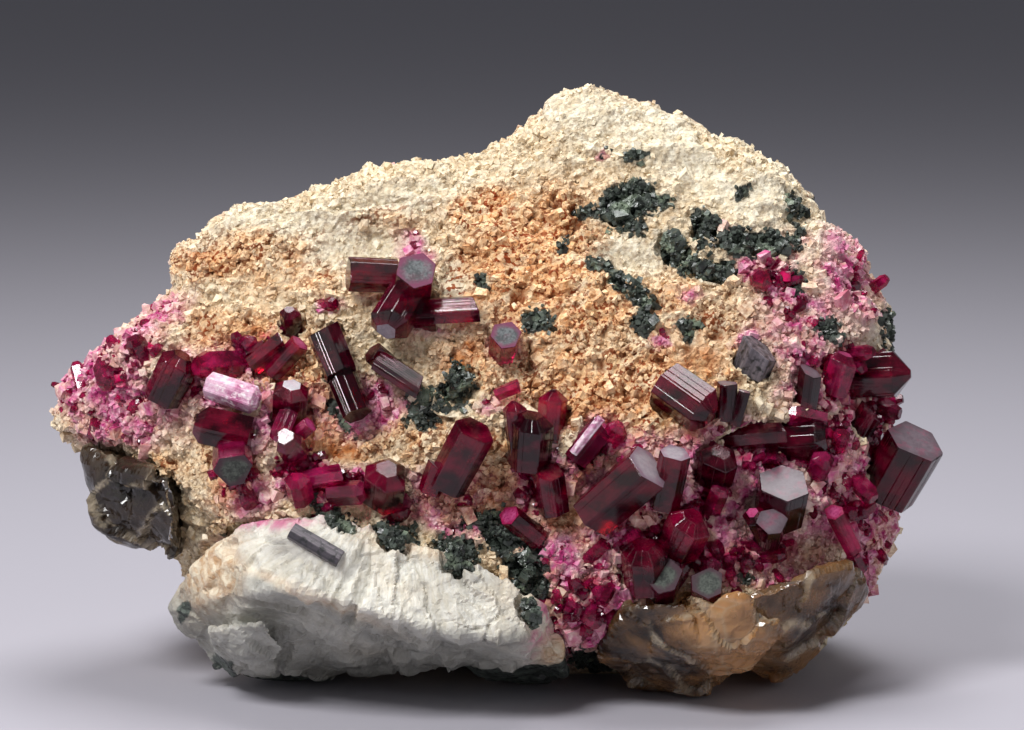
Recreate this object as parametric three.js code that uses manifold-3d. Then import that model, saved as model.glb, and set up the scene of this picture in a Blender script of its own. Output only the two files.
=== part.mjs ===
// Red tourmaline (liddicoatite) crystals standing on a lump of cream feldspar, with a white
// feldspar block and smoky quartz along its lower edge.
// Millimetres. X runs to the right, Y away from the viewer, Z up. The specimen stands on a
// flat at Z = 0, and the origin is the middle of its outer box on that flat.
import * as THREE from "three";
import { ConvexGeometry } from "three/addons/geometries/ConvexGeometry.js";
import { ImprovedNoise } from "three/addons/math/ImprovedNoise.js";
import { mergeVertices } from "three/addons/utils/BufferGeometryUtils.js";
import Module from "manifold-3d";

const wasm = await Module();
wasm.setup();

// Driving dimensions
const SPECIMEN_WIDTH = 148; // mm across, which sets the real size of everything
const SPECIMEN_SPAN = 887; // pixels that it spans in the front view
const PIXELS_PER_MM = SPECIMEN_SPAN / SPECIMEN_WIDTH;
const CONTACT_GAP = 0.33; // clearance grown round a piece before its socket is cut
const EDGE_ROUNDING = 5; // width of the blend where two broken faces of the rock meet
const RIM_ROUNDING = 2.5; // the same where a broken face meets the outline
const WELD = 1e-3; // corners closer than this are one corner
const SLIVER = 1e-3; // faces smaller than this, in square mm, have no sure direction
const PARALLEL = 0.9999; // cosine above which two faces count as one

// Finishes
const finish = (color, roughness) => new THREE.MeshStandardMaterial({ color, roughness, metalness: 0 });
const FINISHES = {
  cream_feldspar: finish(0xe3cfae, 0.85),
  white_feldspar: finish(0xe9e6dc, 0.6),
  dark_quartz: finish(0x2b241d, 0.3),
  amber_quartz: finish(0xa07c55, 0.25),
  red_tourmaline: finish(0x4a0618, 0.15),
  pink_tourmaline: finish(0xb0305f, 0.3),
  grey_tourmaline: finish(0x3b3a40, 0.55),
  green_tourmaline: finish(0x27302c, 0.6),
};

// The front view. A spot is [across, down] in pixels of a 1024 by 730 picture.
const EYE = {
  centre: [512, 365],
  elevation: THREE.MathUtils.degToRad(8),
  distance: 650,
  aim: new THREE.Vector3(2, 0, 52.5),
};
const AHEAD = new THREE.Vector3(0, Math.cos(EYE.elevation), -Math.sin(EYE.elevation));
const UPWARD = new THREE.Vector3(0, Math.sin(EYE.elevation), Math.cos(EYE.elevation));
const ACROSS = new THREE.Vector3(1, 0, 0);
const EYE_POINT = EYE.aim.clone().addScaledVector(AHEAD, -EYE.distance);
const FOCAL = EYE.distance * PIXELS_PER_MM;

// The direction in which a spot is seen.
function sightLine([across, down]) {
  return AHEAD.clone()
    .addScaledVector(ACROSS, (across - EYE.centre[0]) / FOCAL)
    .addScaledVector(UPWARD, (EYE.centre[1] - down) / FOCAL);
}

// The point at a given depth (its Y) that is seen at a spot.
function seen(spot, depth) {
  const line = sightLine(spot);
  return EYE_POINT.clone().addScaledVector(line, (depth - EYE_POINT.y) / line.y);
}

// The spot at which a point is seen.
function spotOf(point) {
  const away = point.clone().sub(EYE_POINT);
  const scale = FOCAL / away.dot(AHEAD);
  return [EYE.centre[0] + away.dot(ACROSS) * scale, EYE.centre[1] - away.dot(UPWARD) * scale];
}

// Solids
function merged(geometry) {
  const bare = geometry.clone();
  bare.deleteAttribute("normal");
  bare.deleteAttribute("uv");
  return mergeVertices(bare, WELD);
}

function solidOf(geometry) {
  const shape = merged(geometry);
  return new wasm.Manifold(
    new wasm.Mesh({
      numProp: 3,
      vertProperties: shape.attributes.position.array,
      triVerts: new Uint32Array(shape.index.array),
    }),
  );
}

function geometryOf(solid) {
  const mesh = solid.getMesh();
  const geometry = new THREE.BufferGeometry();
  geometry.setAttribute("position", new THREE.BufferAttribute(new Float32Array(mesh.vertProperties), 3));
  geometry.setIndex(new THREE.BufferAttribute(new Uint32Array(mesh.triVerts), 1));
  geometry.computeVertexNormals();
  return geometry;
}

const union = (solids) => solids.reduce((all, one) => all.add(one));
const larger = (a, b) => (a.volume() > b.volume() ? a : b);
const largest = (solid) => solid.decompose().reduce(larger);

// The feldspar rock: its outline in the front view, clockwise from the left tip
const OUTLINE = [
  [57, 400], [64, 368], [80, 352], [100, 337], [118, 323], [135, 311], [155, 300], [172, 289],
  [168, 262], [181, 242], [199, 240], [209, 221], [228, 217], [230, 207], [255, 202], [280, 199],
  [310, 190], [340, 184], [370, 177], [395, 168], [440, 163], [465, 161], [503, 145], [522, 134],
  [540, 119], [556, 96], [575, 87], [595, 88], [607, 101], [625, 108], [645, 116], [685, 133],
  [710, 138], [737, 145], [765, 166], [785, 185], [800, 208], [815, 225], [847, 240], [863, 257],
  [862, 277], [880, 308], [882, 350], [884, 400], [888, 445], [889, 500], [882, 540], [868, 580],
  [838, 618], [810, 638], [780, 652], [740, 664], [700, 671], [660, 672], [620, 671], [580, 671],
  [540, 672], [500, 664], [465, 656], [430, 659], [380, 667], [330, 670], [290, 670], [255, 664],
  [225, 646], [203, 624], [190, 585], [180, 540], [170, 500], [140, 481], [110, 462], [78, 441],
  [60, 425],
];
const ROCK_MIDDLE_SPOT = [475, 410];
const ROCK_MIDDLE = seen(ROCK_MIDDLE_SPOT, 2);
const FARTHEST = 120; // beyond any point of the rock, from its middle
const HALVINGS = 24; // steps in the search for the outline along a direction
const RIM_DEPTH = 4; // where the rock is widest; before and behind this it draws in
const DRAW_IN = 0.16; // share of its reach that it loses over the next depth
const DRAW_IN_DEPTH = 35;
const DRAW_IN_CURVE = 1.5;

const GLANCING = 1e-3; // a direction this near to a face's own plane never meets it

// Broken faces of the rock: a point that each passes through, and the way it faces
const BROKEN_FACES = [
  { point: seen([520, 250], -15), facing: [0.04, -0.78, 0.63] }, // upper front slope
  { point: seen([300, 270], -14), facing: [-0.2, -0.83, 0.52] }, // upper left slope
  { point: seen([730, 270], -16), facing: [0.22, -0.82, 0.53] }, // upper right slope
  { point: seen([480, 430], -30), facing: [-0.03, -0.97, 0.22] }, // middle front
  { point: seen([560, 570], -33), facing: [0, -0.93, -0.36] }, // lower front
  { point: seen([170, 420], -19), facing: [-0.55, -0.82, 0.1] }, // left front
  { point: seen([80, 400], -11), facing: [-0.86, -0.5, 0.1] }, // far left
  { point: seen([820, 430], -22), facing: [0.42, -0.9, 0.08] }, // right front
  { point: seen([878, 430], -6), facing: [0.87, -0.48, 0.05] }, // far right
  { point: seen([560, 130], 25), facing: [0.1, 0.78, 0.62] }, // upper back
  { point: seen([480, 400], 37), facing: [0.06, 1, 0.08] }, // back
  { point: seen([190, 400], 29), facing: [-0.62, 0.78, 0.1] }, // back left
  { point: seen([75, 400], 15), facing: [-0.9, 0.42, -0.1] }, // far left back
  { point: seen([800, 400], 28), facing: [0.58, 0.81, 0.05] }, // back right
  { point: seen([500, 600], 27), facing: [0, 0.8, -0.6] }, // lower back
].map((face) => ({ ...face, facing: new THREE.Vector3(...face.facing).normalize() }));

// Lumps, ledges and hollows on its front: spot, half sizes in mm, tilt in degrees, height in mm
const RELIEF = [
  { at: [330, 215], half: [22, 3.5], tilt: 10, height: 2.6 }, // ledge under the upper left rim
  { at: [320, 246], half: [15, 2.6], tilt: 8, height: -3.2 }, // shadow under that ledge
  { at: [205, 255], half: [5, 4], tilt: 30, height: 2 },
  { at: [215, 288], half: [8, 2.2], tilt: 0, height: -2.8 },
  { at: [240, 300], half: [8, 1.6], tilt: -3, height: 1.8 }, // thin shelf below the hollow
  { at: [280, 295], half: [2.8, 6], tilt: 5, height: -3 }, // smooth grey recess
  { at: [230, 340], half: [9, 6], tilt: 20, height: -2 },
  { at: [100, 385], half: [6, 8], tilt: 20, height: 2.2 }, // the knob at the left tip
  { at: [135, 350], half: [8, 4], tilt: 30, height: 1.4 },
  { at: [575, 120], half: [6, 7], tilt: 0, height: 2 }, // the peak
  { at: [520, 200], half: [12, 8], tilt: 25, height: -2 },
  { at: [480, 245], half: [5, 3], tilt: 0, height: 1.6 },
  { at: [475, 262], half: [5, 2], tilt: 0, height: -2.2 },
  { at: [700, 170], half: [10, 4], tilt: -25, height: 1.5 },
  { at: [790, 250], half: [12, 3], tilt: -35, height: 1.6 },
  { at: [650, 240], half: [12, 8], tilt: 0, height: -1.2 },
  { at: [600, 340], half: [14, 5], tilt: -10, height: 1.4 },
  { at: [640, 395], half: [12, 3], tilt: -20, height: -1.6 },
  { at: [340, 400], half: [8, 10], tilt: -20, height: -2.6 }, // pocket behind the long crystal
  { at: [430, 345], half: [9, 5], tilt: 0, height: -1.8 },
  { at: [470, 500], half: [9, 4], tilt: 0, height: -2.8 },
  { at: [525, 500], half: [6, 5], tilt: 0, height: -2.6 },
  { at: [595, 480], half: [4, 8], tilt: -20, height: -3 },
  { at: [600, 565], half: [9, 5], tilt: 0, height: 1.5 },
  { at: [570, 605], half: [7, 9], tilt: 40, height: 1.2 },
  { at: [735, 520], half: [6, 7], tilt: 0, height: -1.8 },
  { at: [790, 545], half: [12, 2.4], tilt: 6, height: -2.6 }, // groove above the amber quartz
  { at: [800, 525], half: [6, 4], tilt: 0, height: 1.6 },
  { at: [860, 500], half: [6, 8], tilt: 0, height: 1.5 },
  { at: [740, 455], half: [8, 3], tilt: 0, height: -2 },
  { at: [850, 300], half: [5, 9], tilt: -20, height: 1 },
  { at: [230, 505], half: [7, 5], tilt: 0, height: 1 },
];
const RELIEF_GAIN = 1.35; // on the heights, because the rock's corners lie some way apart
const RELIEF_FADE = [0.05, 0.45]; // it fades in as a direction turns from the side to the front

// Distance from the rock's middle to its outline, in pixels, towards each side of the front view.
const OUTLINE_POLAR = OUTLINE.map(([across, down]) => {
  const [x, y] = [across - ROCK_MIDDLE_SPOT[0], ROCK_MIDDLE_SPOT[1] - down];
  return { turn: Math.atan2(y, x), reach: Math.hypot(x, y) };
}).sort((a, b) => a.turn - b.turn);

// The reach at a turn lies where its ray crosses the straight side between two outline corners.
function outlineReach(turn) {
  const next = Math.max(0, OUTLINE_POLAR.findIndex((corner) => corner.turn > turn));
  const [after, before] = [OUTLINE_POLAR.at(next), OUTLINE_POLAR.at(next - 1)];
  const span = Math.sin(after.turn - before.turn) * before.reach * after.reach;
  return span / (before.reach * Math.sin(turn - before.turn) + after.reach * Math.sin(after.turn - turn));
}

function insideOutline(point) {
  const [across, down] = spotOf(point);
  const [x, y] = [across - ROCK_MIDDLE_SPOT[0], ROCK_MIDDLE_SPOT[1] - down];
  const drawnIn = 1 - DRAW_IN * (Math.abs(point.y - RIM_DEPTH) / DRAW_IN_DEPTH) ** DRAW_IN_CURVE;
  return Math.hypot(x, y) <= outlineReach(Math.atan2(y, x)) * drawnIn;
}

// How far a direction runs from the rock's middle before it leaves the outline.
function outlineDistance(direction) {
  let [near, far] = [0, FARTHEST];
  const point = new THREE.Vector3();
  for (let step = 0; step < HALVINGS; step++) {
    const middle = (near + far) / 2;
    point.copy(ROCK_MIDDLE).addScaledVector(direction, middle);
    if (insideOutline(point)) near = middle;
    else far = middle;
  }
  return near;
}

function faceDistance(direction, face) {
  const closing = direction.dot(face.facing);
  if (closing < GLANCING) return FARTHEST;
  return Math.min(FARTHEST, face.point.clone().sub(ROCK_MIDDLE).dot(face.facing) / closing);
}

function blendedMinimum(a, b, width) {
  const overlap = Math.max(width - Math.abs(a - b), 0) / width;
  return Math.min(a, b) - (overlap * overlap * width) / 4;
}

function reliefHeight(point) {
  const [across, down] = spotOf(point);
  return RELIEF.reduce((sum, { at, half, tilt, height }) => {
    const angle = THREE.MathUtils.degToRad(tilt);
    const x = (across - at[0]) / PIXELS_PER_MM;
    const y = (at[1] - down) / PIXELS_PER_MM;
    const along = (x * Math.cos(angle) + y * Math.sin(angle)) / half[0];
    const beside = (y * Math.cos(angle) - x * Math.sin(angle)) / half[1];
    return sum + height * Math.exp(-(along ** 2) - beside ** 2);
  }, 0);
}

const noise = new ImprovedNoise();
// Octaves of the rock's roughness: wavelength and height in mm
const ROUGHNESS = [[31, 2.4], [14, 1.6], [8, 0.9]];
const NOISE_START = 7.3; // where in the noise the rock lies, clear of its regular middle
const RIDGE_MEAN = 0.55; // taken off, so that the ridges don't swell the rock as a whole

function roughness(point) {
  return ROUGHNESS.reduce((sum, [length, height]) => {
    const [x, y, z] = [point.x / length + NOISE_START, point.y / length, point.z / length - NOISE_START];
    const ridge = 1 - 2 * Math.abs(noise.noise(x, y, z));
    return sum + (ridge - RIDGE_MEAN) * height;
  }, 0);
}

// Rings of corners that the rock is shaped from: degrees from the line of sight, and how many
const RINGS = [
  [5, 3], [13, 9], [21, 16], [29, 22], [36, 28], [43, 34], [49, 40], [55, 46], [60, 50], [65, 54],
  [70, 58], [75, 62], [80, 66], [102, 60], [113, 46], [126, 34], [140, 22], [156, 12], [171, 4],
];
const RIM_TURNS = [86, 90, 94]; // these rings have a corner for each corner of the outline
const RING_STAGGER = 0.38; // of a step, from each ring to the next

function rockDistance(direction) {
  const broken = BROKEN_FACES.map((face) => faceDistance(direction, face));
  const blended = broken.reduce((all, one) => blendedMinimum(all, one, EDGE_ROUNDING));
  const distance = blendedMinimum(outlineDistance(direction), blended, RIM_ROUNDING);
  const point = ROCK_MIDDLE.clone().addScaledVector(direction, distance);
  const front = THREE.MathUtils.smoothstep(-direction.y, ...RELIEF_FADE);
  return distance + roughness(point) + front * RELIEF_GAIN * reliefHeight(point);
}

function ringDirection(tilt, turn) {
  return AHEAD.clone().multiplyScalar(-Math.cos(tilt))
    .addScaledVector(ACROSS, Math.cos(turn) * Math.sin(tilt))
    .addScaledVector(UPWARD, Math.sin(turn) * Math.sin(tilt));
}

function rockGeometry() {
  const directions = RIM_TURNS.flatMap((tilt) =>
    OUTLINE_POLAR.map(({ turn }) => ringDirection(THREE.MathUtils.degToRad(tilt), turn)));
  RINGS.forEach(([tilt, count], ring) => {
    for (let i = 0; i < count; i++) {
      const turn = ((i + ring * RING_STAGGER) / count) * 2 * Math.PI;
      directions.push(ringDirection(THREE.MathUtils.degToRad(tilt), turn));
    }
  });
  const rock = merged(new ConvexGeometry(directions));
  const { position } = rock.attributes;
  const direction = new THREE.Vector3();
  for (let i = 0; i < position.count; i++) {
    direction.fromBufferAttribute(position, i).normalize();
    const point = direction.clone().multiplyScalar(rockDistance(direction)).add(ROCK_MIDDLE);
    position.setXYZ(i, point.x, point.y, point.z);
  }
  return rock;
}

const ROCK = rockGeometry();

// Where a spot's sight line meets the front of the shapes given, as a depth.
const caster = new THREE.Raycaster();
const ANY_SIDE = new THREE.MeshBasicMaterial({ side: THREE.DoubleSide });
function frontDepth(spot, shapes) {
  caster.set(EYE_POINT, sightLine(spot).normalize());
  const targets = shapes.map((shape) => new THREE.Mesh(shape, ANY_SIDE));
  const hits = caster.intersectObjects(targets);
  if (!hits.length) throw new Error(`nothing is seen at ${spot}`);
  return hits[0].point.y;
}

// Blocks of feldspar and quartz: chunks grown together. A corner is [across, down, depth].
const BLOCKS = [
  {
    name: "white_feldspar_block",
    finish: "white_feldspar",
    chunks: [
      [ // left
        [206, 556, -22], [240, 521, -29], [300, 517, -32], [215, 548, -27], [300, 585, -42], [250, 592, -37],
        [172, 610, -15], [181, 577, -19], [181, 627, -13], [220, 667, -12], [262, 680, -8], [300, 682, -6],
        [325, 673, -16], [200, 590, 0], [320, 590, -6], [262, 655, 2],
      ],
      [ // middle
        [250, 521, -30], [330, 515, -34], [400, 541, -37], [302, 588, -42], [370, 610, -44], [448, 634, -41],
        [300, 680, -10], [350, 668, -16], [408, 673, -16], [440, 661, -18], [300, 600, -10], [420, 600, -10],
        [340, 650, -2],
      ],
      [ // right
        [392, 542, -35], [470, 560, -38], [538, 598, -38], [556, 645, -33], [448, 634, -42], [520, 640, -41],
        [436, 662, -22], [484, 667, -18], [521, 685, -10], [551, 684, -8], [567, 673, -18], [420, 600, -12],
        [540, 620, -12], [480, 640, -8],
      ],
      [ // knob at its lower left corner
        [210, 628, -28], [262, 622, -36], [285, 650, -30], [240, 655, -28], [270, 676, -16], [226, 668, -14],
        [214, 652, -14], [250, 640, -10],
      ],
    ],
  },
  {
    name: "smoky_quartz_left",
    finish: "dark_quartz",
    chunks: [
      [
        [84, 446, -5], [97, 470, -12], [96, 493, -12], [103, 522, -11], [111, 530, -9], [121, 543, -7],
        [145, 544, -10], [152, 468, -20], [160, 520, -20], [100, 450, 11], [99, 500, 12], [126, 538, 10],
        [175, 470, 10], [172, 530, 10],
      ],
      [
        [122, 470, -17], [168, 474, -22], [175, 510, -22], [173, 553, -17], [153, 550, -12], [140, 540, -12],
        [128, 510, -17], [140, 480, 6], [182, 480, 4], [180, 548, 4],
      ],
    ],
  },
  {
    name: "smoky_quartz_right",
    finish: "amber_quartz",
    chunks: [
      [ // pale middle
        [686, 594, -36], [746, 594, -39], [782, 628, -37], [760, 653, -33], [731, 672, -26], [709, 688, -16],
        [694, 688, -16], [701, 652, -38], [688, 610, -10], [770, 615, -8], [748, 662, -6], [700, 682, -8],
      ],
      [ // brown left
        [599, 662, -22], [607, 640, -29], [632, 605, -35], [686, 602, -39], [700, 655, -38], [697, 694, -15],
        [672, 694, -14], [643, 692, -14], [626, 679, -17], [620, 640, -8], [690, 640, -6], [680, 690, -8],
      ],
      [ // brown right
        [742, 596, -37], [786, 580, -35], [852, 563, -25], [866, 590, -17], [853, 608, -15], [824, 646, -13],
        [796, 670, -11], [775, 682, -9], [745, 672, -14], [790, 641, -31], [818, 606, -30], [850, 580, 8],
        [790, 660, 4], [745, 650, 0],
      ],
    ],
  },
];

// Crystals of tourmaline: three-sided barrels with cut corners. A tip is where the middle of the
// head is seen. Angle is the way from root to tip in the picture, anticlockwise from the right;
// toward is how far it leans out at the viewer. Width and length are in pixels. The root lies
// about on the rock's surface, and depth is given where the tip's own place can't be had so.
const ROOT_SUNK = 0.25; // share of a crystal's width by which the middle of its root is buried
const CRYSTAL_LIFT = 1.4; // mm that a crystal stands out more than that, where it states no lift
const ROOT_TAPER = 0.96; // a root's width against the head's
// A head rises from a shoulder, by so many radii, to a top whose corners lie at a share of the
// radius. Its top has six corners, three or none, and slants across by so many radii.
const HEADS = {
  flat: { rise: 0, share: 1, corners: 0, slant: 0 },
  slanted: { rise: 0, share: 1, corners: 0, slant: 0.45 },
  low: { rise: 0.34, share: 0.5, corners: 6, slant: 0.1 },
  pointed: { rise: 0.62, share: 0.16, corners: 3, slant: 0 },
};
const NARROW_SIDE = 50; // degrees that a barrel's narrow sides take up of each third

const CRYSTALS = [
  ["tourmaline_upper_group", "red_tourmaline", [
    { tip: [348, 275], lift: 2.4, angle: 178, toward: 12, width: 37, length: 50, head: "flat", turn: 20 },
    { tip: [417, 270], angle: 80, toward: 62, width: 44, length: 53, head: "flat", turn: 10 },
    { tip: [386, 332], angle: 240, toward: 38, width: 46, length: 65, head: "low", turn: 0 },
    { tip: [482, 309], angle: 3, toward: 8, width: 30, length: 83, head: "slanted", turn: 35 },
  ]],
  ["tourmaline_upper_stub", "red_tourmaline", [
    { tip: [289, 309], angle: 95, toward: 35, width: 23, length: 31, head: "low", turn: 0 },
  ]],
  ["tourmaline_long_blade", "red_tourmaline", [
    {
      tip: [320, 322], depth: -20.6, angle: 113, toward: -24,
      width: 37, length: 64, head: "slanted", turn: 12,
    },
    {
      tip: [335, 360], depth: -23.4, angle: 113, toward: -24,
      width: 33, length: 65, head: "flat", turn: 40,
    },
  ]],
  ["tourmaline_mid_bar", "red_tourmaline", [
    { tip: [424, 391], angle: -33, toward: 16, width: 28, length: 57, head: "slanted", turn: 25 },
    { tip: [372, 352], angle: 140, toward: 25, width: 24, length: 29, head: "flat", turn: 5 },
  ]],
  ["tourmaline_left_pair", "red_tourmaline", [
    { tip: [287, 338], angle: 38, toward: 18, width: 26, length: 46, head: "slanted", turn: 0 },
    { tip: [300, 343], angle: 47, toward: 20, width: 22, length: 45, head: "flat", turn: 30 },
  ]],
  ["tourmaline_left_barrel", "red_tourmaline", [
    { tip: [292, 384], angle: 84, toward: 34, width: 40, length: 43, head: "low", turn: 25 },
  ]],
  ["tourmaline_far_left", "red_tourmaline", [
    { tip: [183, 354], angle: 62, toward: 24, width: 42, length: 55, head: "low", turn: 10 },
  ]],
  ["tourmaline_left_block", "red_tourmaline", [
    { tip: [197, 422], angle: 168, toward: 16, width: 44, length: 57, head: "low", turn: 30 },
  ]],
  ["tourmaline_left_rosette", "pink_tourmaline", [
    { tip: [234, 470], angle: -80, toward: 58, width: 42, length: 43, head: "flat", turn: 0 },
  ]],
  ["tourmaline_frosted_bar", "pink_tourmaline", [
    { tip: [260, 402], angle: -18, toward: 14, width: 31, length: 57, head: "low", turn: 0 },
  ]],
  ["tourmaline_low_barrel", "red_tourmaline", [
    { tip: [387, 468], angle: 82, toward: 50, width: 48, length: 50, head: "low", turn: 18 },
  ]],
  ["tourmaline_centre_column", "red_tourmaline", [
    { tip: [476, 430], angle: 62, toward: 26, width: 46, length: 71, head: "flat", turn: 12 },
    { tip: [440, 462], angle: 70, toward: 20, width: 26, length: 34, head: "slanted", turn: 30 },
  ]],
  ["tourmaline_centre_group", "red_tourmaline", [
    { tip: [513, 401], angle: 97, toward: 14, width: 26, length: 57, head: "pointed", turn: 15 },
    { tip: [532, 414], angle: 86, toward: 24, width: 46, length: 57, head: "low", turn: 0 },
    { tip: [554, 389], angle: 84, toward: 12, width: 31, length: 53, head: "pointed", turn: 30 },
  ]],
  ["tourmaline_small_upper", "pink_tourmaline", [
    { tip: [522, 384], angle: 22, toward: 20, width: 15, length: 29, head: "slanted", turn: 0 },
  ]],
  ["tourmaline_centre_stem", "red_tourmaline", [
    { tip: [546, 463], angle: 99, toward: 16, width: 35, length: 53, head: "slanted", turn: 20 },
  ]],
  ["tourmaline_striped", "pink_tourmaline", [
    { tip: [605, 421], angle: 52, toward: 16, width: 31, length: 50, head: "slanted", turn: 8 },
  ]],
  ["tourmaline_great_pair", "red_tourmaline", [
    { tip: [648, 466], angle: 42, toward: 26, width: 55, length: 84, head: "flat", turn: 14 },
    { tip: [675, 453], angle: 80, toward: 30, width: 33, length: 64, head: "flat", turn: 40 },
  ]],
  ["tourmaline_upper_right", "red_tourmaline", [
    { tip: [712, 417], angle: -36, toward: 22, width: 51, length: 62, head: "low", turn: 10 },
    { tip: [727, 383], angle: 88, toward: 14, width: 22, length: 38, head: "flat", turn: 0 },
    { tip: [745, 391], angle: 74, toward: 12, width: 14, length: 36, head: "flat", turn: 20 },
  ]],
  ["tourmaline_right_gleam", "red_tourmaline", [
    { tip: [721, 451], angle: 80, toward: 45, width: 42, length: 41, head: "low", turn: 28 },
  ]],
  ["tourmaline_right_bar", "red_tourmaline", [
    { tip: [788, 434], angle: 5, toward: 8, width: 26, length: 76, head: "slanted", turn: 15 },
  ]],
  ["tourmaline_right_barrel", "red_tourmaline", [
    { tip: [828, 436], angle: 4, toward: 16, width: 48, length: 58, head: "low", turn: 0 },
  ]],
  ["tourmaline_right_slab", "red_tourmaline", [
    { tip: [811, 366], angle: 83, toward: 12, width: 24, length: 45, head: "slanted", turn: 10 },
  ]],
  ["tourmaline_rose", "pink_tourmaline", [
    { tip: [845, 353], angle: 74, toward: 18, width: 33, length: 43, head: "low", turn: 20 },
  ]],
  ["tourmaline_right_edge", "red_tourmaline", [
    { tip: [911, 374], depth: -12, angle: 3, toward: 12, width: 52, length: 62, head: "pointed", turn: 30 },
  ]],
  ["tourmaline_right_leaf", "red_tourmaline", [
    { tip: [874, 406], depth: -15, angle: 62, toward: 22, width: 27, length: 46, head: "slanted", turn: 0 },
  ]],
  ["tourmaline_far_right", "red_tourmaline", [
    { tip: [916, 441], depth: -15, angle: 64, toward: 33, width: 66, length: 71, head: "flat", turn: 22 },
    { tip: [882, 444], depth: -13, angle: 100, toward: 30, width: 20, length: 40, head: "pointed", turn: 0 },
  ]],
  ["tourmaline_grey_group", "red_tourmaline", [
    { tip: [784, 483], angle: 84, toward: 44, width: 55, length: 50, head: "flat", turn: 26 },
    { tip: [772, 521], angle: 86, toward: 62, width: 33, length: 40, head: "flat", turn: 0 },
    { tip: [752, 512], angle: 120, toward: 40, width: 26, length: 34, head: "low", turn: 0 },
  ]],
  ["tourmaline_lower_right", "red_tourmaline", [
    { tip: [694, 515], angle: 66, toward: 38, width: 48, length: 48, head: "low", turn: 15 },
  ]],
  ["tourmaline_lower_mid", "red_tourmaline", [
    { tip: [643, 543], angle: 96, toward: 30, width: 51, length: 52, head: "low", turn: 0 },
  ]],
  ["tourmaline_right_needle", "pink_tourmaline", [
    { tip: [832, 508], angle: 118, toward: 18, width: 21, length: 53, head: "slanted", turn: 0 },
  ]],
  ["tourmaline_lower_bar", "red_tourmaline", [
    { tip: [505, 512], angle: 140, toward: 18, width: 24, length: 48, head: "slanted", turn: 0 },
  ]],
  ["tourmaline_crimson_chip", "pink_tourmaline", [
    { tip: [722, 487], angle: 70, toward: 40, width: 22, length: 29, head: "low", turn: 0 },
  ]],
  ["tourmaline_right_bead", "pink_tourmaline", [
    { tip: [825, 456], angle: 70, toward: 50, width: 26, length: 29, head: "low", turn: 0 },
  ]],
  ["tourmaline_edge_bead", "pink_tourmaline", [
    { tip: [843, 432], angle: 80, toward: 50, width: 19, length: 24, head: "low", turn: 0 },
  ]],
  ["tourmaline_magenta_row", "pink_tourmaline", [
    { tip: [296, 476], angle: 100, toward: 40, width: 28, length: 33, head: "low", turn: 0 },
    { tip: [346, 473], angle: 10, toward: 20, width: 21, length: 48, head: "slanted", turn: 20 },
  ]],
  ["tourmaline_magenta_low", "pink_tourmaline", [
    { tip: [366, 492], angle: 5, toward: 26, width: 26, length: 40, head: "low", turn: 0 },
  ]],
  ["tourmaline_left_chips", "pink_tourmaline", [
    { tip: [310, 424], angle: 40, toward: 22, width: 19, length: 38, head: "flat", turn: 0 },
    { tip: [278, 440], angle: 250, toward: 40, width: 24, length: 34, head: "low", turn: 0 },
  ]],
  ["tourmaline_ring", "pink_tourmaline", [
    { tip: [506, 335], angle: 80, toward: 60, width: 34, length: 34, head: "flat", turn: 0 },
  ]],
  ["tourmaline_in_block", "grey_tourmaline", [
    { tip: [340, 560], angle: -30, toward: 6, width: 21, length: 57, head: "flat", turn: 15 },
  ]],
  ["tourmaline_grey_slab", "grey_tourmaline", [
    { tip: [763, 340], angle: 70, toward: 34, width: 42, length: 38, head: "slanted", turn: 30 },
  ]],
  ["tourmaline_green_core_left", "grey_tourmaline", [
    { tip: [663, 575], angle: 90, toward: 64, width: 42, length: 36, head: "flat", turn: 0 },
  ]],
  ["tourmaline_green_core_right", "grey_tourmaline", [
    { tip: [708, 583], angle: 90, toward: 64, width: 37, length: 36, head: "flat", turn: 20 },
  ]],
];

// Dark green lumps. Each is [across, down, length, breadth, tilt], in pixels and degrees.
const LUMP_THICKNESS = 0.8; // against its breadth
const LUMP_SUNK = 0.12; // share of its breadth by which its middle lies under the rock's surface
const LUMPS = [
  ["green_lump_upper_left", [[617, 211, 38, 32, 70]]],
  ["green_lump_upper", [[646, 201, 46, 28, -10]]],
  ["green_lump_middle", [[673, 250, 46, 32, 110]]],
  ["green_lump_ridge", [[706, 226, 44, 32, 70]]],
  ["green_lump_low", [[714, 270, 58, 30, 0]]],
  ["green_streak", [[764, 247, 74, 26, -14]]],
  ["green_in_block_right", [[457, 560, 54, 40, 90]]],
  ["green_lump_centre", [[461, 384, 44, 30, 60]]],
  ["green_in_block_left", [[340, 526, 46, 26, -35]]],
  ["green_in_block_middle", [[396, 540, 46, 34, 40]]],
  ["green_band_upper", [[500, 532, 44, 32, -40]]],
  ["green_band_middle", [[526, 566, 46, 30, 110]]],
  ["green_band_low", [[531, 608, 44, 36, 90]]],
];

// Two directions square to a crystal's axis. The leaning guide is never along an axis.
const GUIDE = UPWARD.clone().addScaledVector(ACROSS, 0.35);
function sideDirections(axis, turn) {
  const first = new THREE.Vector3().crossVectors(axis, GUIDE).normalize();
  first.applyAxisAngle(axis, THREE.MathUtils.degToRad(turn));
  return [first, new THREE.Vector3().crossVectors(axis, first)];
}

// The six corners of a barrel's cross-section, wide and narrow sides taking turns.
const THIRDS = [0, 120, 240];
const CORNER_TURNS = THIRDS.flatMap((third) => [third - NARROW_SIDE / 2, third + NARROW_SIDE / 2]);

function chunkHull(corners) {
  return new ConvexGeometry(corners.map(([across, down, depth]) => seen([across, down], depth)));
}

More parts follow.
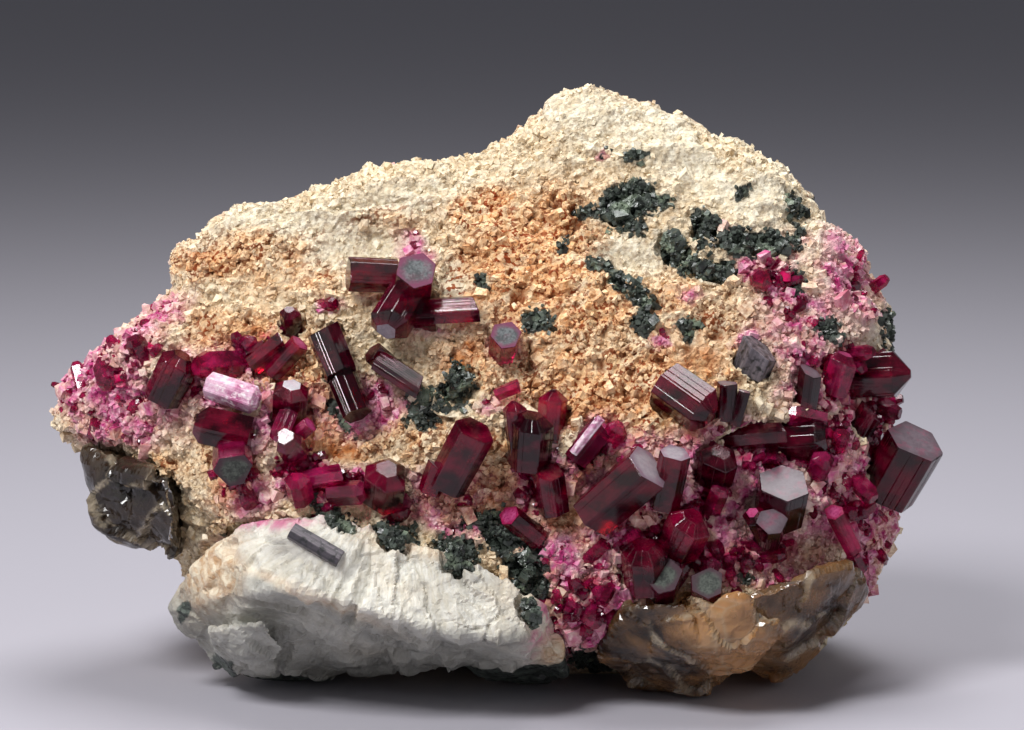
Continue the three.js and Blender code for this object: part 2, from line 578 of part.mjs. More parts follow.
function crystalHull(crystal, surfaces) {
  const [angle, toward] = [crystal.angle, crystal.toward].map(THREE.MathUtils.degToRad);
  const proud = (crystal.length * Math.sin(toward) - crystal.width * ROOT_SUNK) / PIXELS_PER_MM
    + (crystal.lift ?? CRYSTAL_LIFT);
  const depth = crystal.depth ?? frontDepth(crystal.tip, surfaces) - proud;
  const tip = seen(crystal.tip, depth);
  const pixel = tip.clone().sub(EYE_POINT).dot(AHEAD) / FOCAL;
  const axis = ACROSS.clone().multiplyScalar(Math.cos(angle) * Math.cos(toward))
    .addScaledVector(UPWARD, Math.sin(angle) * Math.cos(toward))
    .addScaledVector(AHEAD, -Math.sin(toward));
  const [first, second] = sideDirections(axis, crystal.turn);
  const radius = (crystal.width * pixel) / 2;
  const { rise, share: topShare, corners, slant } = HEADS[crystal.head];
  const points = [];
  CORNER_TURNS.forEach((cornerTurn, index) => {
    const turn = THREE.MathUtils.degToRad(cornerTurn);
    const corner = (share, back) => tip.clone()
      .addScaledVector(first, Math.cos(turn) * radius * share)
      .addScaledVector(second, Math.sin(turn) * radius * share)
      .addScaledVector(axis, -back);
    const lean = slant * radius * (1 - Math.cos(turn));
    points.push(corner(ROOT_TAPER, crystal.length * pixel), corner(1, rise * radius + lean));
    const hasTop = corners === CORNER_TURNS.length || (corners > 0 && index % 2 === 1);
    if (hasTop) points.push(corner(topShare, lean * topShare));
  });
  return new ConvexGeometry(points);
}

function lumpHull([across, down, length, breadth, tilt], surfaces) {
  const surface = seen([across, down], frontDepth([across, down], surfaces));
  const pixel = surface.clone().sub(EYE_POINT).dot(AHEAD) / FOCAL;
  const shape = new THREE.IcosahedronGeometry(pixel / 2, 0);
  // Its spot also sets how it is turned, so that no two lumps are alike.
  shape.rotateX(across);
  shape.rotateZ(down);
  shape.scale(length, breadth * LUMP_THICKNESS, breadth);
  shape.rotateY(-THREE.MathUtils.degToRad(tilt));
  surface.addScaledVector(AHEAD, LUMP_SUNK * breadth * pixel);
  shape.translate(surface.x, surface.y, surface.z);
  return new ConvexGeometry(cornersOf(shape));
}

function cornersOf(geometry) {
  const { position } = merged(geometry).attributes;
  const corner = (_, i) => new THREE.Vector3().fromBufferAttribute(position, i);
  return Array.from({ length: position.count }, corner);
}

// A convex shape with each corner pushed out far enough to clear all the faces that meet there
const SHARPEST = 0.4; // a corner sharper than this is pushed out as if it were this blunt
function offsetHull(hull, by) {
  const { position } = hull.attributes;
  const triangle = new THREE.Triangle();
  const facing = cornersOf(hull).map((corner) => ({ corner, normals: [] }));
  for (let i = 0; i < position.count; i += 3) {
    triangle.setFromAttributeAndIndices(position, i, i + 1, i + 2);
    if (triangle.getArea() < SLIVER) continue;
    const normal = triangle.getNormal(new THREE.Vector3());
    for (const { corner, normals } of facing) {
      const meets = [triangle.a, triangle.b, triangle.c].some((point) => point.distanceTo(corner) < WELD);
      if (meets && !normals.some((other) => other.dot(normal) > PARALLEL)) normals.push(normal);
    }
  }
  return new ConvexGeometry(facing.map(({ corner, normals }) => {
    const outward = evenDirection(normals);
    const steepest = Math.max(SHARPEST, Math.min(...normals.map((normal) => normal.dot(outward))));
    return corner.clone().addScaledVector(outward, by / steepest);
  }));
}

// The direction whose widest angle to any of the normals is the least, found by leaning towards
// the normal that it favours least, each time by a smaller step.
const LEAN_ROUNDS = 80;
function evenDirection(normals) {
  const direction = normals.reduce((sum, normal) => sum.add(normal), new THREE.Vector3()).normalize();
  for (let round = 1; round <= LEAN_ROUNDS; round++) {
    const worst = normals.reduce((a, b) => (a.dot(direction) < b.dot(direction) ? a : b));
    direction.addScaledVector(worst, 1 / (round + 1)).normalize();
  }
  return direction;
}

// The solid of some overlapping hulls, and the socket that it needs in whatever it stands in
function piece(name, finishName, hulls) {
  return {
    name,
    finishName,
    hulls,
    solid: union(hulls.map(solidOf)),
    socket: union(hulls.map((hull) => solidOf(offsetHull(hull, CONTACT_GAP)))),
  };
}

const blocks = BLOCKS.map((block) => piece(block.name, block.finish, block.chunks.map(chunkHull)));
const surfaces = [ROCK, ...blocks.flatMap((block) => block.hulls)];
const crystals = CRYSTALS.map(([name, finishName, members]) =>
  piece(name, finishName, members.map((crystal) => crystalHull(crystal, surfaces))));
const lumps = LUMPS.map(([name, members]) =>
  piece(name, "green_tourmaline", members.map((lump) => lumpHull(lump, surfaces))));
const rock = { name: "feldspar_matrix", finishName: "cream_feldspar", solid: solidOf(ROCK), socket: null };

// The ground under the specimen, which cuts its flat
const GROUND = { side: 400, depth: 30 };
const ground = solidOf(
  new THREE.BoxGeometry(GROUND.side, GROUND.side, GROUND.depth).translate(0, 0, -GROUND.depth / 2),
);

function overlaps(a, b) {
  const [p, q] = [a.boundingBox(), b.boundingBox()];
  return [0, 1, 2].every((axis) => p.min[axis] < q.max[axis] && q.min[axis] < p.max[axis]);
}

// Earlier pieces keep their shape and later ones are socketed round them; the rock comes last.
const group = new THREE.Group();
const sockets = [ground];
const whole = new THREE.Box3();
for (const { name, finishName, solid, socket } of [...crystals, ...lumps, ...blocks, rock]) {
  const cutters = sockets.filter((cutter) => overlaps(cutter, solid));
  const shape = largest(cutters.length ? solid.subtract(union(cutters)) : solid);
  const mesh = new THREE.Mesh(geometryOf(shape), FINISHES[finishName]);
  mesh.name = name;
  group.add(mesh);
  whole.expandByObject(mesh);
  if (socket) sockets.push(socket);
}

// Set the origin under the middle of the box that holds everything.
const middle = whole.getCenter(new THREE.Vector3());
for (const mesh of group.children) mesh.geometry.translate(-middle.x, -middle.y, 0);

export default group;
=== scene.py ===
"""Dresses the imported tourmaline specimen: its rock, grains, crystals, quartz and a studio stage.

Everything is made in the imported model's own frame. Sizes in this script are in millimetres, and
turn into metres where a mesh is made. A spot is [across, down] in a 1024 by 730 front view.
"""

import math

import bpy
import numpy as np
from mathutils import Matrix, Vector


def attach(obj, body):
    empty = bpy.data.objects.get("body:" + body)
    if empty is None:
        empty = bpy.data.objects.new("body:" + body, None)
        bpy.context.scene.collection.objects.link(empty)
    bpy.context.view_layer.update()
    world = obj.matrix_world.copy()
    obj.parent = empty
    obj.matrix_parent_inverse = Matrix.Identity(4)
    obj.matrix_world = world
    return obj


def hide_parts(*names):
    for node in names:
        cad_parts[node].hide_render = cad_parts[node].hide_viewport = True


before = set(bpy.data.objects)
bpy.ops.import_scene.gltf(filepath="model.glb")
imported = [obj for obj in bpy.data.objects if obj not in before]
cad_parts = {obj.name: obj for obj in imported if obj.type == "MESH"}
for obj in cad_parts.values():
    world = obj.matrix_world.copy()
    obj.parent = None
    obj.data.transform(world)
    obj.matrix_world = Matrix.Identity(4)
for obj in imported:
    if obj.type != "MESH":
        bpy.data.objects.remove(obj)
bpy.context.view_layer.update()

bl_info = {
    "name": "Tourmaline Specimen",
    "version": (1, 0, 0),
    "blender": (4, 5, 0),
    "location": "3D View > Sidebar > Specimen",
    "description": "Makes a red tourmaline specimen on its feldspar rock",
    "category": "Object",
}

MM = 0.001
ABOVE_FLOOR = .02  # least height of a point, in mm
PICTURE = (1024, 730)
SENSOR_WIDTH = 36.0
PIXELS_PER_MM = 887 / 148  # the specimen is 887 pixels wide, and taken to be 148 mm
ELEVATION = math.radians(8)  # of the eye, which looks slightly down
EYE_DISTANCE = 650.0
AIM = np.array([3.027, 1.850, 52.5])
AHEAD = np.array([0.0, math.cos(ELEVATION), -math.sin(ELEVATION)])
UPWARD = np.array([0.0, math.sin(ELEVATION), math.cos(ELEVATION)])
ACROSS = np.array([1.0, 0.0, 0.0])
EYE = AIM - AHEAD * EYE_DISTANCE
FOCAL = EYE_DISTANCE * PIXELS_PER_MM


# The front view

def spots_of(points):
    """The spots at which points are seen."""
    away = points - EYE
    scale = FOCAL / (away @ AHEAD)
    return np.stack([PICTURE[0] / 2 + (away @ ACROSS) * scale,
                     PICTURE[1] / 2 - (away @ UPWARD) * scale], axis=1)


def sight_line(spot):
    """The direction in which a spot is seen."""
    across, down = (spot[0] - PICTURE[0] / 2) / FOCAL, (PICTURE[1] / 2 - spot[1]) / FOCAL
    return AHEAD + ACROSS * across + UPWARD * down


def seen(spot, depth):
    """The point at a depth, its Y, that is seen at a spot."""
    line = sight_line(spot)
    return EYE + line * ((depth - EYE[1]) / line[1])


# Noise

def hashed(cells, seed):
    """A repeatable number from 0 to 1 for each row of whole numbers, whose bits are mixed."""
    c = cells.astype(np.int64)
    mixed = (c[..., 0] * 73856093) ^ (c[..., 1] * 19349663) ^ (c[..., 2] * 83492791) ^ (seed * 40503)
    mixed = ((mixed ^ (mixed >> 13)) * 1274126177) & 0xFFFFFFFF
    mixed = ((mixed ^ (mixed >> 15)) * 2246822519) & 0xFFFFFFFF
    return ((mixed ^ (mixed >> 16)) & 0xFFFFFF) / float(0xFFFFFF)


def smooth_noise(points, size, seed):
    """Soft noise from -1 to 1, with lumps of about the given size."""
    scaled = points / size
    low = np.floor(scaled)
    part = scaled - low
    part = part * part * (3 - 2 * part)
    total = np.zeros(len(points))
    for corner in np.ndindex(2, 2, 2):
        weight = np.prod(np.where(corner, part, 1 - part), axis=1)
        total += weight * hashed(low + corner, seed)
    return total * 2 - 1


def layered_noise(points, size, seed, layers=3):
    """Soft noise with finer and weaker noise on it."""
    return sum(smooth_noise(points, size / 2 ** i, seed + i) / 2 ** i for i in range(layers))


def cell_noise(points, size, seed):
    """Distance to the nearest and second nearest of scattered seeds, and the nearest one's number."""
    scaled = points / size
    home = np.floor(scaled)
    nearest = np.full(len(points), 9.0)
    second = nearest.copy()
    number = np.zeros(len(points))
    for offset in np.ndindex(3, 3, 3):
        cell = home + offset - 1
        place = cell + np.stack([hashed(cell, seed + i) for i in range(3)], axis=1)
        distance = np.linalg.norm(scaled - place, axis=1)
        closer = distance < nearest
        second = np.where(closer, nearest, np.minimum(second, distance))
        number = np.where(closer, hashed(cell, seed + 3), number)
        nearest = np.minimum(nearest, distance)
    return nearest, second, number


def facets(points, size, seed, soften=.12):
    """Height of a broken surface, from -1 to 1: a tilted flat in each cell, with steps between."""
    scaled = points / size
    home = np.floor(scaled)
    nearest, second = np.full((2, len(points)), 9.0)
    height = np.zeros(len(points))
    for offset in np.ndindex(3, 3, 3):
        cell = home + offset - 1
        lean = np.stack([hashed(cell, seed + 4 + i) for i in range(3)], axis=1) * 2 - 1
        away = scaled - cell - np.stack([hashed(cell, seed + i) for i in range(3)], axis=1)
        distance = np.linalg.norm(away, axis=1)
        closer = distance < nearest
        second = np.where(closer, nearest, np.minimum(second, distance))
        own_height = (away * lean).sum(axis=1) + .5 * (hashed(cell, seed + 3) - .5)
        height = np.where(closer, own_height, height)
        nearest = np.minimum(nearest, distance)
    return height * (.35 + .65 * faded(second - nearest, 0, soften))


def faded(value, low, high):
    """0 below low, 1 above high and a smooth step between them."""
    part = np.clip((value - low) / (high - low), 0, 1)
    return part * part * (3 - 2 * part)


# Meshes

def mesh_of(name, points, faces):
    """An object from points in mm and an array of faces that all have as many corners."""
    faces = np.asarray(faces, np.int32)
    mesh = bpy.data.meshes.new(name)
    mesh.vertices.add(len(points))
    mesh.vertices.foreach_set("co", (points * MM).astype(np.float32).ravel())
    mesh.loops.add(faces.size)
    mesh.loops.foreach_set("vertex_index", faces.ravel())
    mesh.polygons.add(len(faces))
    mesh.polygons.foreach_set("loop_start", np.arange(0, faces.size, faces.shape[1], dtype=np.int32))
    mesh.update(calc_edges=True)
    mesh.shade_flat()
    made = bpy.data.objects.new(name, mesh)
    bpy.context.scene.collection.objects.link(made)
    return made


def remeshed(name, nodes, voxel):
    """An even mesh over some CAD nodes, joined."""
    joined = bpy.data.meshes.new(name)
    points, faces = [], []
    for node in nodes:
        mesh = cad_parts[node].data
        start = len(points)
        points += [v.co for v in mesh.vertices]
        faces += [[start + i for i in face.vertices] for face in mesh.polygons]
    joined.from_pydata(points, [], faces)
    made = bpy.data.objects.new(name, joined)
    bpy.context.scene.collection.objects.link(made)
    remesh = made.modifiers.new("Remesh", "REMESH")
    remesh.mode = "VOXEL"
    remesh.voxel_size = voxel * MM
    even = bpy.data.meshes.new_from_object(made.evaluated_get(bpy.context.evaluated_depsgraph_get()))
    made.modifiers.clear()
    made.data = even
    bpy.data.meshes.remove(joined)
    return made


def points_and_normals(made):
    """The points of an object's mesh in mm, and its normals there."""
    mesh = made.data
    points, normals = np.empty((2, len(mesh.vertices), 3), np.float32)
    mesh.vertices.foreach_get("co", points.ravel())
    mesh.vertex_normals.foreach_get("vector", normals.ravel())
    return points.astype(float) / MM, normals.astype(float)


def set_points(made, points):
    """Moves an object's points, in mm, and keeps them above the floor."""
    points[:, 2] = np.maximum(points[:, 2], ABOVE_FLOOR)
    made.data.vertices.foreach_set("co", (points * MM).astype(np.float32).ravel())
    made.data.update()


def write(made, **values):
    """Stores values at the mesh's points under their names, for the materials to read."""
    for name, value in values.items():
        vector = np.ndim(value) == 2
        kind, key = ("FLOAT_VECTOR", "vector") if vector else ("FLOAT", "value")
        attribute = made.data.attributes.new(name, kind, "POINT")
        attribute.data.foreach_set(key, np.asarray(value, np.float32).ravel())


def corners_of_faces(made):
    """The mesh's faces as rows of four corners, where a triangle repeats its last."""
    mesh = made.data
    starts, totals = np.empty((2, len(mesh.polygons)), np.int32)
    mesh.polygons.foreach_get("loop_start", starts)
    mesh.polygons.foreach_get("loop_total", totals)
    corners = np.empty(len(mesh.loops), np.int32)
    mesh.loops.foreach_get("vertex_index", corners)
    return corners[starts[:, None] + np.minimum(np.arange(4), totals[:, None] - 1)]


def placed(made, nodes=(), materials=()):
    """Adds materials to a piece, fixes it to the body and hides the CAD nodes that it stands for."""
    for material in materials:
        made.data.materials.append(material)
    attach(made, "root")
    if nodes:
        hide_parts(*nodes)
    return made


# Colour zones of the front, as soft ovals: across, down, half length, half breadth, tilt, strength

ZONES = {
    "pink": [
        (82, 398, 28, 44, 20, 1.5), (118, 358, 40, 26, 30, 1.5), (160, 318, 36, 16, 28, .9),
        (128, 415, 40, 30, 0, 1.3), (185, 400, 30, 40, 0, .5), (228, 385, 34, 20, -12, 1),
        (312, 485, 76, 17, 4, 1.3), (262, 430, 36, 22, 0, .8), (365, 402, 16, 30, -25, .9),
        (250, 355, 30, 12, 20, .8), (200, 375, 60, 30, 20, .5), (290, 412, 50, 34, 0, .5),
        (430, 330, 14, 9, 0, .9), (408, 246, 13, 22, 50, .9), (338, 302, 15, 6, 0, .8),
        (497, 403, 16, 11, 0, .7), (562, 470, 26, 60, -60, 1.1), (600, 442, 22, 34, -20, .9),
        (585, 560, 50, 30, 30, .9), (600, 620, 62, 24, 30, 1.2), (560, 555, 30, 40, 50, .6),
        (690, 500, 74, 46, 0, 1), (640, 500, 44, 40, 0, .8), (450, 485, 40, 20, 0, .7),
        (790, 500, 90, 50, 0, .55), (815, 300, 60, 60, 0, .45), (640, 440, 40, 16, 0, .5),
        (760, 455, 66, 28, 0, 1), (775, 275, 32, 22, -30, 1.1), (800, 305, 34, 20, -55, .9),
        (852, 270, 30, 18, -60, .8), (868, 305, 24, 14, -60, .8), (830, 385, 44, 30, 0, 1),
        (855, 450, 28, 34, 0, .9), (850, 525, 40, 34, 0, .8), (874, 545, 26, 40, -20, 1.1),
        (886, 480, 16, 40, 0, .8), (380, 396, 30, 26, 0, .8), (735, 232, 16, 5, -20, .9),
        (690, 300, 14, 8, 0, .6), (654, 338, 10, 6, 0, 1), (760, 572, 110, 12, -8, 1.3),
        (720, 560, 70, 26, 0, .9), (600, 148, 8, 6, 0, .9), (725, 460, 60, 40, 0, .5),
        (505, 336, 20, 16, 0, .6), (205, 540, 10, 40, 0, .2), (460, 520, 60, 12, -10, .7),
        (250, 505, 30, 12, 0, .6), (745, 345, 20, 14, 60, .7), (785, 345, 24, 18, 0, .6),
    ],
    "crimson": [
        (250, 345, 26, 12, 30, .8), (300, 470, 26, 12, 0, 1), (345, 492, 40, 13, 0, 1.1),
        (395, 505, 14, 16, 0, 1), (540, 480, 20, 34, 0, .8), (585, 600, 40, 16, 35, .7),
        (705, 508, 20, 12, 0, .7), (655, 545, 34, 20, 0, .9), (760, 462, 36, 8, 0, .6),
        (845, 372, 24, 22, 0, .9), (820, 440, 26, 18, 0, .8), (848, 515, 12, 34, 30, .7),
        (790, 285, 24, 10, -40, .6), (870, 420, 18, 26, 0, .9), (725, 558, 50, 9, 0, .8),
        (120, 372, 12, 8, 0, .6), (150, 350, 16, 6, 30, .6), (235, 478, 24, 14, 0, .6),
    ],
    "orange": [
        (530, 240, 84, 46, 20, 1.1), (480, 208, 32, 16, 0, .9), (540, 300, 90, 46, 0, .95),
        (236, 330, 46, 28, 0, 1.1), (196, 270, 22, 12, 0, .9), (600, 380, 90, 36, 0, .9),
        (465, 365, 36, 20, 0, .6), (500, 475, 34, 44, 0, .9), (600, 500, 44, 40, 0, .9),
        (340, 435, 44, 26, 0, .7), (222, 480, 30, 60, 0, .7), (740, 547, 34, 12, 0, .8),
        (300, 385, 60, 60, 0, .7), (455, 500, 40, 24, 0, .8), (690, 340, 70, 60, 0, .75),
        (290, 265, 130, 26, -8, .6), (640, 420, 60, 40, 0, .8), (420, 430, 50, 30, 0, .5),
        (380, 215, 60, 20, 20, .45), (150, 470, 30, 18, 0, .6), (540, 560, 40, 50, 0, .6),
        (700, 470, 26, 26, 0, .5), (870, 540, 20, 26, 0, .6), (110, 430, 30, 16, 0, .5),
        (215, 600, 20, 60, 80, .4),
    ],
    # Deep hollows between the crystals, with an orange-brown stain and painted shade
    "rust_and_hollow_shade": [
        (335, 442, 26, 13, 0, 1), (560, 522, 30, 22, 20, .9), (602, 472, 16, 30, -30, .9),
        (440, 500, 20, 14, 0, .8), (762, 547, 34, 9, -6, .9), (700, 442, 16, 18, 20, .9),
        (240, 328, 34, 16, 10, .6), (215, 500, 14, 34, 0, .5), (452, 352, 26, 14, 20, .8),
        (590, 405, 50, 14, 10, .6), (195, 262, 16, 9, 0, .7), (320, 395, 18, 20, 0, .5),
        (425, 505, 14, 9, 0, .8), (800, 560, 30, 10, 0, .5), (690, 360, 40, 16, 0, .5),
        (480, 240, 30, 10, 30, .5), (860, 470, 16, 12, 0, .6), (500, 300, 40, 14, 20, .4),
    ],
    "pale": [
        (300, 212, 100, 20, 8, 1.2), (350, 250, 60, 28, 0, .9), (450, 276, 17, 26, 30, 1.4),
        (640, 130, 62, 24, -25, 1), (700, 170, 74, 26, -28, 1.1), (765, 205, 44, 22, -40, 1),
        (632, 250, 36, 18, 0, 1.2), (575, 118, 30, 26, 0, .9), (832, 245, 26, 16, -30, 1),
        (420, 190, 60, 20, 5, .8), (200, 250, 22, 12, 40, .6), (700, 330, 60, 24, 0, .4),
        (770, 500, 60, 34, 0, .6), (860, 330, 20, 26, 0, .7), (210, 560, 34, 44, 0, .6),
        (825, 420, 20, 14, 0, .4), (190, 330, 20, 14, 0, .5), (850, 545, 30, 20, 0, .6),
    ],
    "green": [
        (620, 208, 22, 22, 0, 1.1), (646, 198, 28, 14, -10, 1), (668, 243, 12, 20, -20, 1),
        (686, 262, 16, 14, 0, 1), (706, 228, 12, 24, 20, .9), (728, 272, 14, 12, 0, 1),
        (764, 246, 38, 12, -14, 1.2), (600, 266, 12, 7, -20, .8), (622, 284, 12, 9, -40, .9),
        (640, 303, 16, 8, -35, 1), (640, 326, 10, 9, 0, 1), (688, 327, 8, 10, 0, 1),
        (547, 322, 15, 13, 0, 1.2), (583, 208, 9, 7, 0, .9), (561, 248, 7, 9, 0, .8),
        (637, 157, 13, 5, -20, 1), (600, 147, 8, 6, 0, .8), (741, 188, 6, 9, 30, .9),
        (484, 277, 9, 6, -30, .9), (458, 382, 16, 24, 20, 1.1), (426, 408, 22, 22, 0, .9),
        (338, 526, 28, 13, -35, 1.3), (394, 541, 26, 22, 20, 1.1), (458, 558, 22, 32, 10, 1.3),
        (514, 545, 20, 44, 35, 1.2), (531, 607, 20, 26, 0, 1.4), (586, 657, 22, 10, -20, 1.2),
        (828, 330, 8, 14, 0, 1), (741, 578, 10, 8, 0, .8), (793, 216, 12, 5, -40, .9),
        (803, 244, 5, 14, 10, .8), (803, 285, 9, 13, 0, .9), (882, 330, 5, 20, 0, 1),
        (345, 402, 12, 34, 30, .6), (493, 517, 12, 10, 0, 1), (465, 515, 16, 6, 0, .6),
    ],
}
WARPS = ((60, 9), (18, 5), (7, 2.5))  # lengths and sizes, in pixels, of the waves in their borders

# Bounds of the noise that colours the sides and the back
ELSEWHERE = {
    "pink": (.4, 1.0), "crimson": (1.0, 1.5), "orange": (.1, .9), "rust_and_hollow_shade": (.5, 1.3),
    "pale": (-.4, .8), "green": (.9, 1.1),
}


def oval_sum(spots, ovals):
    """How strongly each spot lies in some soft ovals, added up."""
    total = np.zeros(len(spots))
    for across, down, length, breadth, tilt, strength in ovals:
        turn = math.radians(tilt)
        x, y = spots[:, 0] - across, down - spots[:, 1]
        along = (x * math.cos(turn) + y * math.sin(turn)) / length
        beside = (y * math.cos(turn) - x * math.sin(turn)) / breadth
        total += strength * np.exp(-(along ** 2 + beside ** 2) ** 1.5)
    return total


def zones_at(points, normals):
    """How far each point lies in each colour zone, and on the front, from 0 to 1."""
    spots = spots_of(points)
    flat = np.column_stack([spots, np.zeros(len(spots))])
    for layer, (length, size) in enumerate(WARPS):
        spots = spots + size * np.column_stack(
            [smooth_noise(flat, length, 40 + layer), smooth_noise(flat, length, 50 + layer)])
    front = faded(-(normals @ AHEAD), -0.25, 0.15) * faded(-points[:, 1], -26, -14)
    zones = {}
    for seed, (name, ovals) in enumerate(ZONES.items()):
        elsewhere = faded(layered_noise(points, 17, 60 + seed), *ELSEWHERE[name])
        inside = oval_sum(spots, ovals) * (1 + 0.5 * layered_noise(points, 3.2, 70 + seed))
        zones[name] = front * np.clip(inside, 0, 1) + (1 - front) * elsewhere
    zones["front"] = front
    return zones


# Materials

class Nodes:
    """Adds nodes to one tree. An input takes a value, or another node's output to link."""

    def __init__(self, tree):
        self.tree = tree
        tree.nodes.clear()

    def add(self, kind, inputs=(), **settings):
        """A new node with its inputs and settings."""
        node = self.tree.nodes.new(kind)
        for key, value in settings.items():
            setattr(node, key, value)
        for key, value in dict(inputs).items():
            self.put(node.inputs[key], value)
        return node

    def put(self, socket, value):
        """Sets a socket, or links another node's output to it."""
        if isinstance(value, bpy.types.NodeSocket):
            self.tree.links.new(value, socket)
        else:
            socket.default_value = value

    def noise(self, scale, detail=3.0, vector=None, rough=0.55):
        """Cloudy noise from 0 to 1."""
        inputs = {"Scale": scale, "Detail": detail, "Roughness": rough}
        inputs["Vector"] = vector or self.place()
        return self.add("ShaderNodeTexNoise", inputs).outputs["Fac"]

    def cells(self, scale, feature="F1", output="Distance", vector=None):
        """Noise made of cells."""
        inputs = {"Scale": scale, "Vector": vector or self.place()}
        return self.add("ShaderNodeTexVoronoi", inputs, feature=feature).outputs[output]

    def place(self):
        """The place on the piece, in metres."""
        return self.add("ShaderNodeTexCoord").outputs["Object"]

    def mix(self, factor, a, b):
        """A colour between a and b."""
        node = self.add("ShaderNodeMix", data_type="RGBA")
        for index, value in ((0, factor), (6, a), (7, b)):
            self.put(node.inputs[index], value)
        return node.outputs[2]

    def spread(self, value, low, high, to_low=0.0, to_high=1.0):
        """The value with the range from low to high spread over another, and kept within that."""
        inputs = {"Value": value, "From Min": low, "From Max": high,
                  "To Min": to_low, "To Max": to_high}
        return self.add("ShaderNodeMapRange", inputs).outputs["Result"]

    def calc(self, operation, a, b):
        """One sum on two values."""
        node = self.add("ShaderNodeMath", operation=operation)
        self.put(node.inputs[0], a)
        self.put(node.inputs[1], b)
        return node.outputs[0]

    def stored(self, name, output="Fac"):
        """A value that the mesh stores at its points."""
        return self.add("ShaderNodeAttribute", attribute_name=name).outputs[output]

    def bump(self, height, strength, distance):
        """A surface normal for fine relief, whose depth is in metres."""
        inputs = {"Height": height, "Strength": strength, "Distance": distance}
        return self.add("ShaderNodeBump", inputs).outputs["Normal"]

    def group(self, group, inputs):
        """The outputs of a shared group of nodes."""
        node = self.add("ShaderNodeGroup", node_tree=group)
        for key, value in inputs.items():
            self.put(node.inputs[key], value)
        return node.outputs


def group_of(name, inputs, outputs):
    """A new node group, and its input and output nodes."""
    tree = bpy.data.node_groups.new(name, "ShaderNodeTree")
    for direction, sockets in (("INPUT", inputs), ("OUTPUT", outputs)):
        for socket, kind in sockets.items():
            tree.interface.new_socket(name=socket, in_out=direction, socket_type="NodeSocket" + kind)
    nodes = Nodes(tree)
    return nodes, nodes.add("NodeGroupInput").outputs, nodes.add("NodeGroupOutput").inputs


def rgb(red, green, blue):
    """A linear colour from screen values of 0 to 255."""
    return tuple(((c / 255 + .055) / 1.055) ** 2.4 if c > 10 else c / 3294.6
                 for c in (red, green, blue)) + (1.0,)


def grain_group():
    """Sugary grain: small crystals packed together, with pits between them."""
    n, given, out = group_of("Sugary grain", {"Scale": "Float"},
                             {"Height": "Float", "Tone": "Float", "Pits": "Float"})
    scale = given["Scale"]
    fine = n.cells(scale)
    rough = n.noise(n.calc("MULTIPLY", scale, 0.8), 6.0, rough=.65)
    n.put(out["Height"], n.calc("SUBTRACT", n.calc("MULTIPLY", rough, 2.2), fine))
    speckle = n.cells(n.calc("MULTIPLY", scale, 1.3), output="Color")
    cloud = n.noise(n.calc("MULTIPLY", scale, 0.35), 6.0, rough=.65)
    n.put(out["Tone"], n.spread(n.calc("ADD", n.calc("MULTIPLY", speckle, .3), cloud), .5, .8))
    holes = n.spread(n.noise(n.calc("MULTIPLY", scale, 0.95), 5.0), .5, .56)
    pitted = n.spread(n.noise(n.calc("MULTIPLY", scale, 0.1), 3.0), .3, .52)
    n.put(out["Pits"], n.calc("MULTIPLY", holes, pitted))
    return n.tree


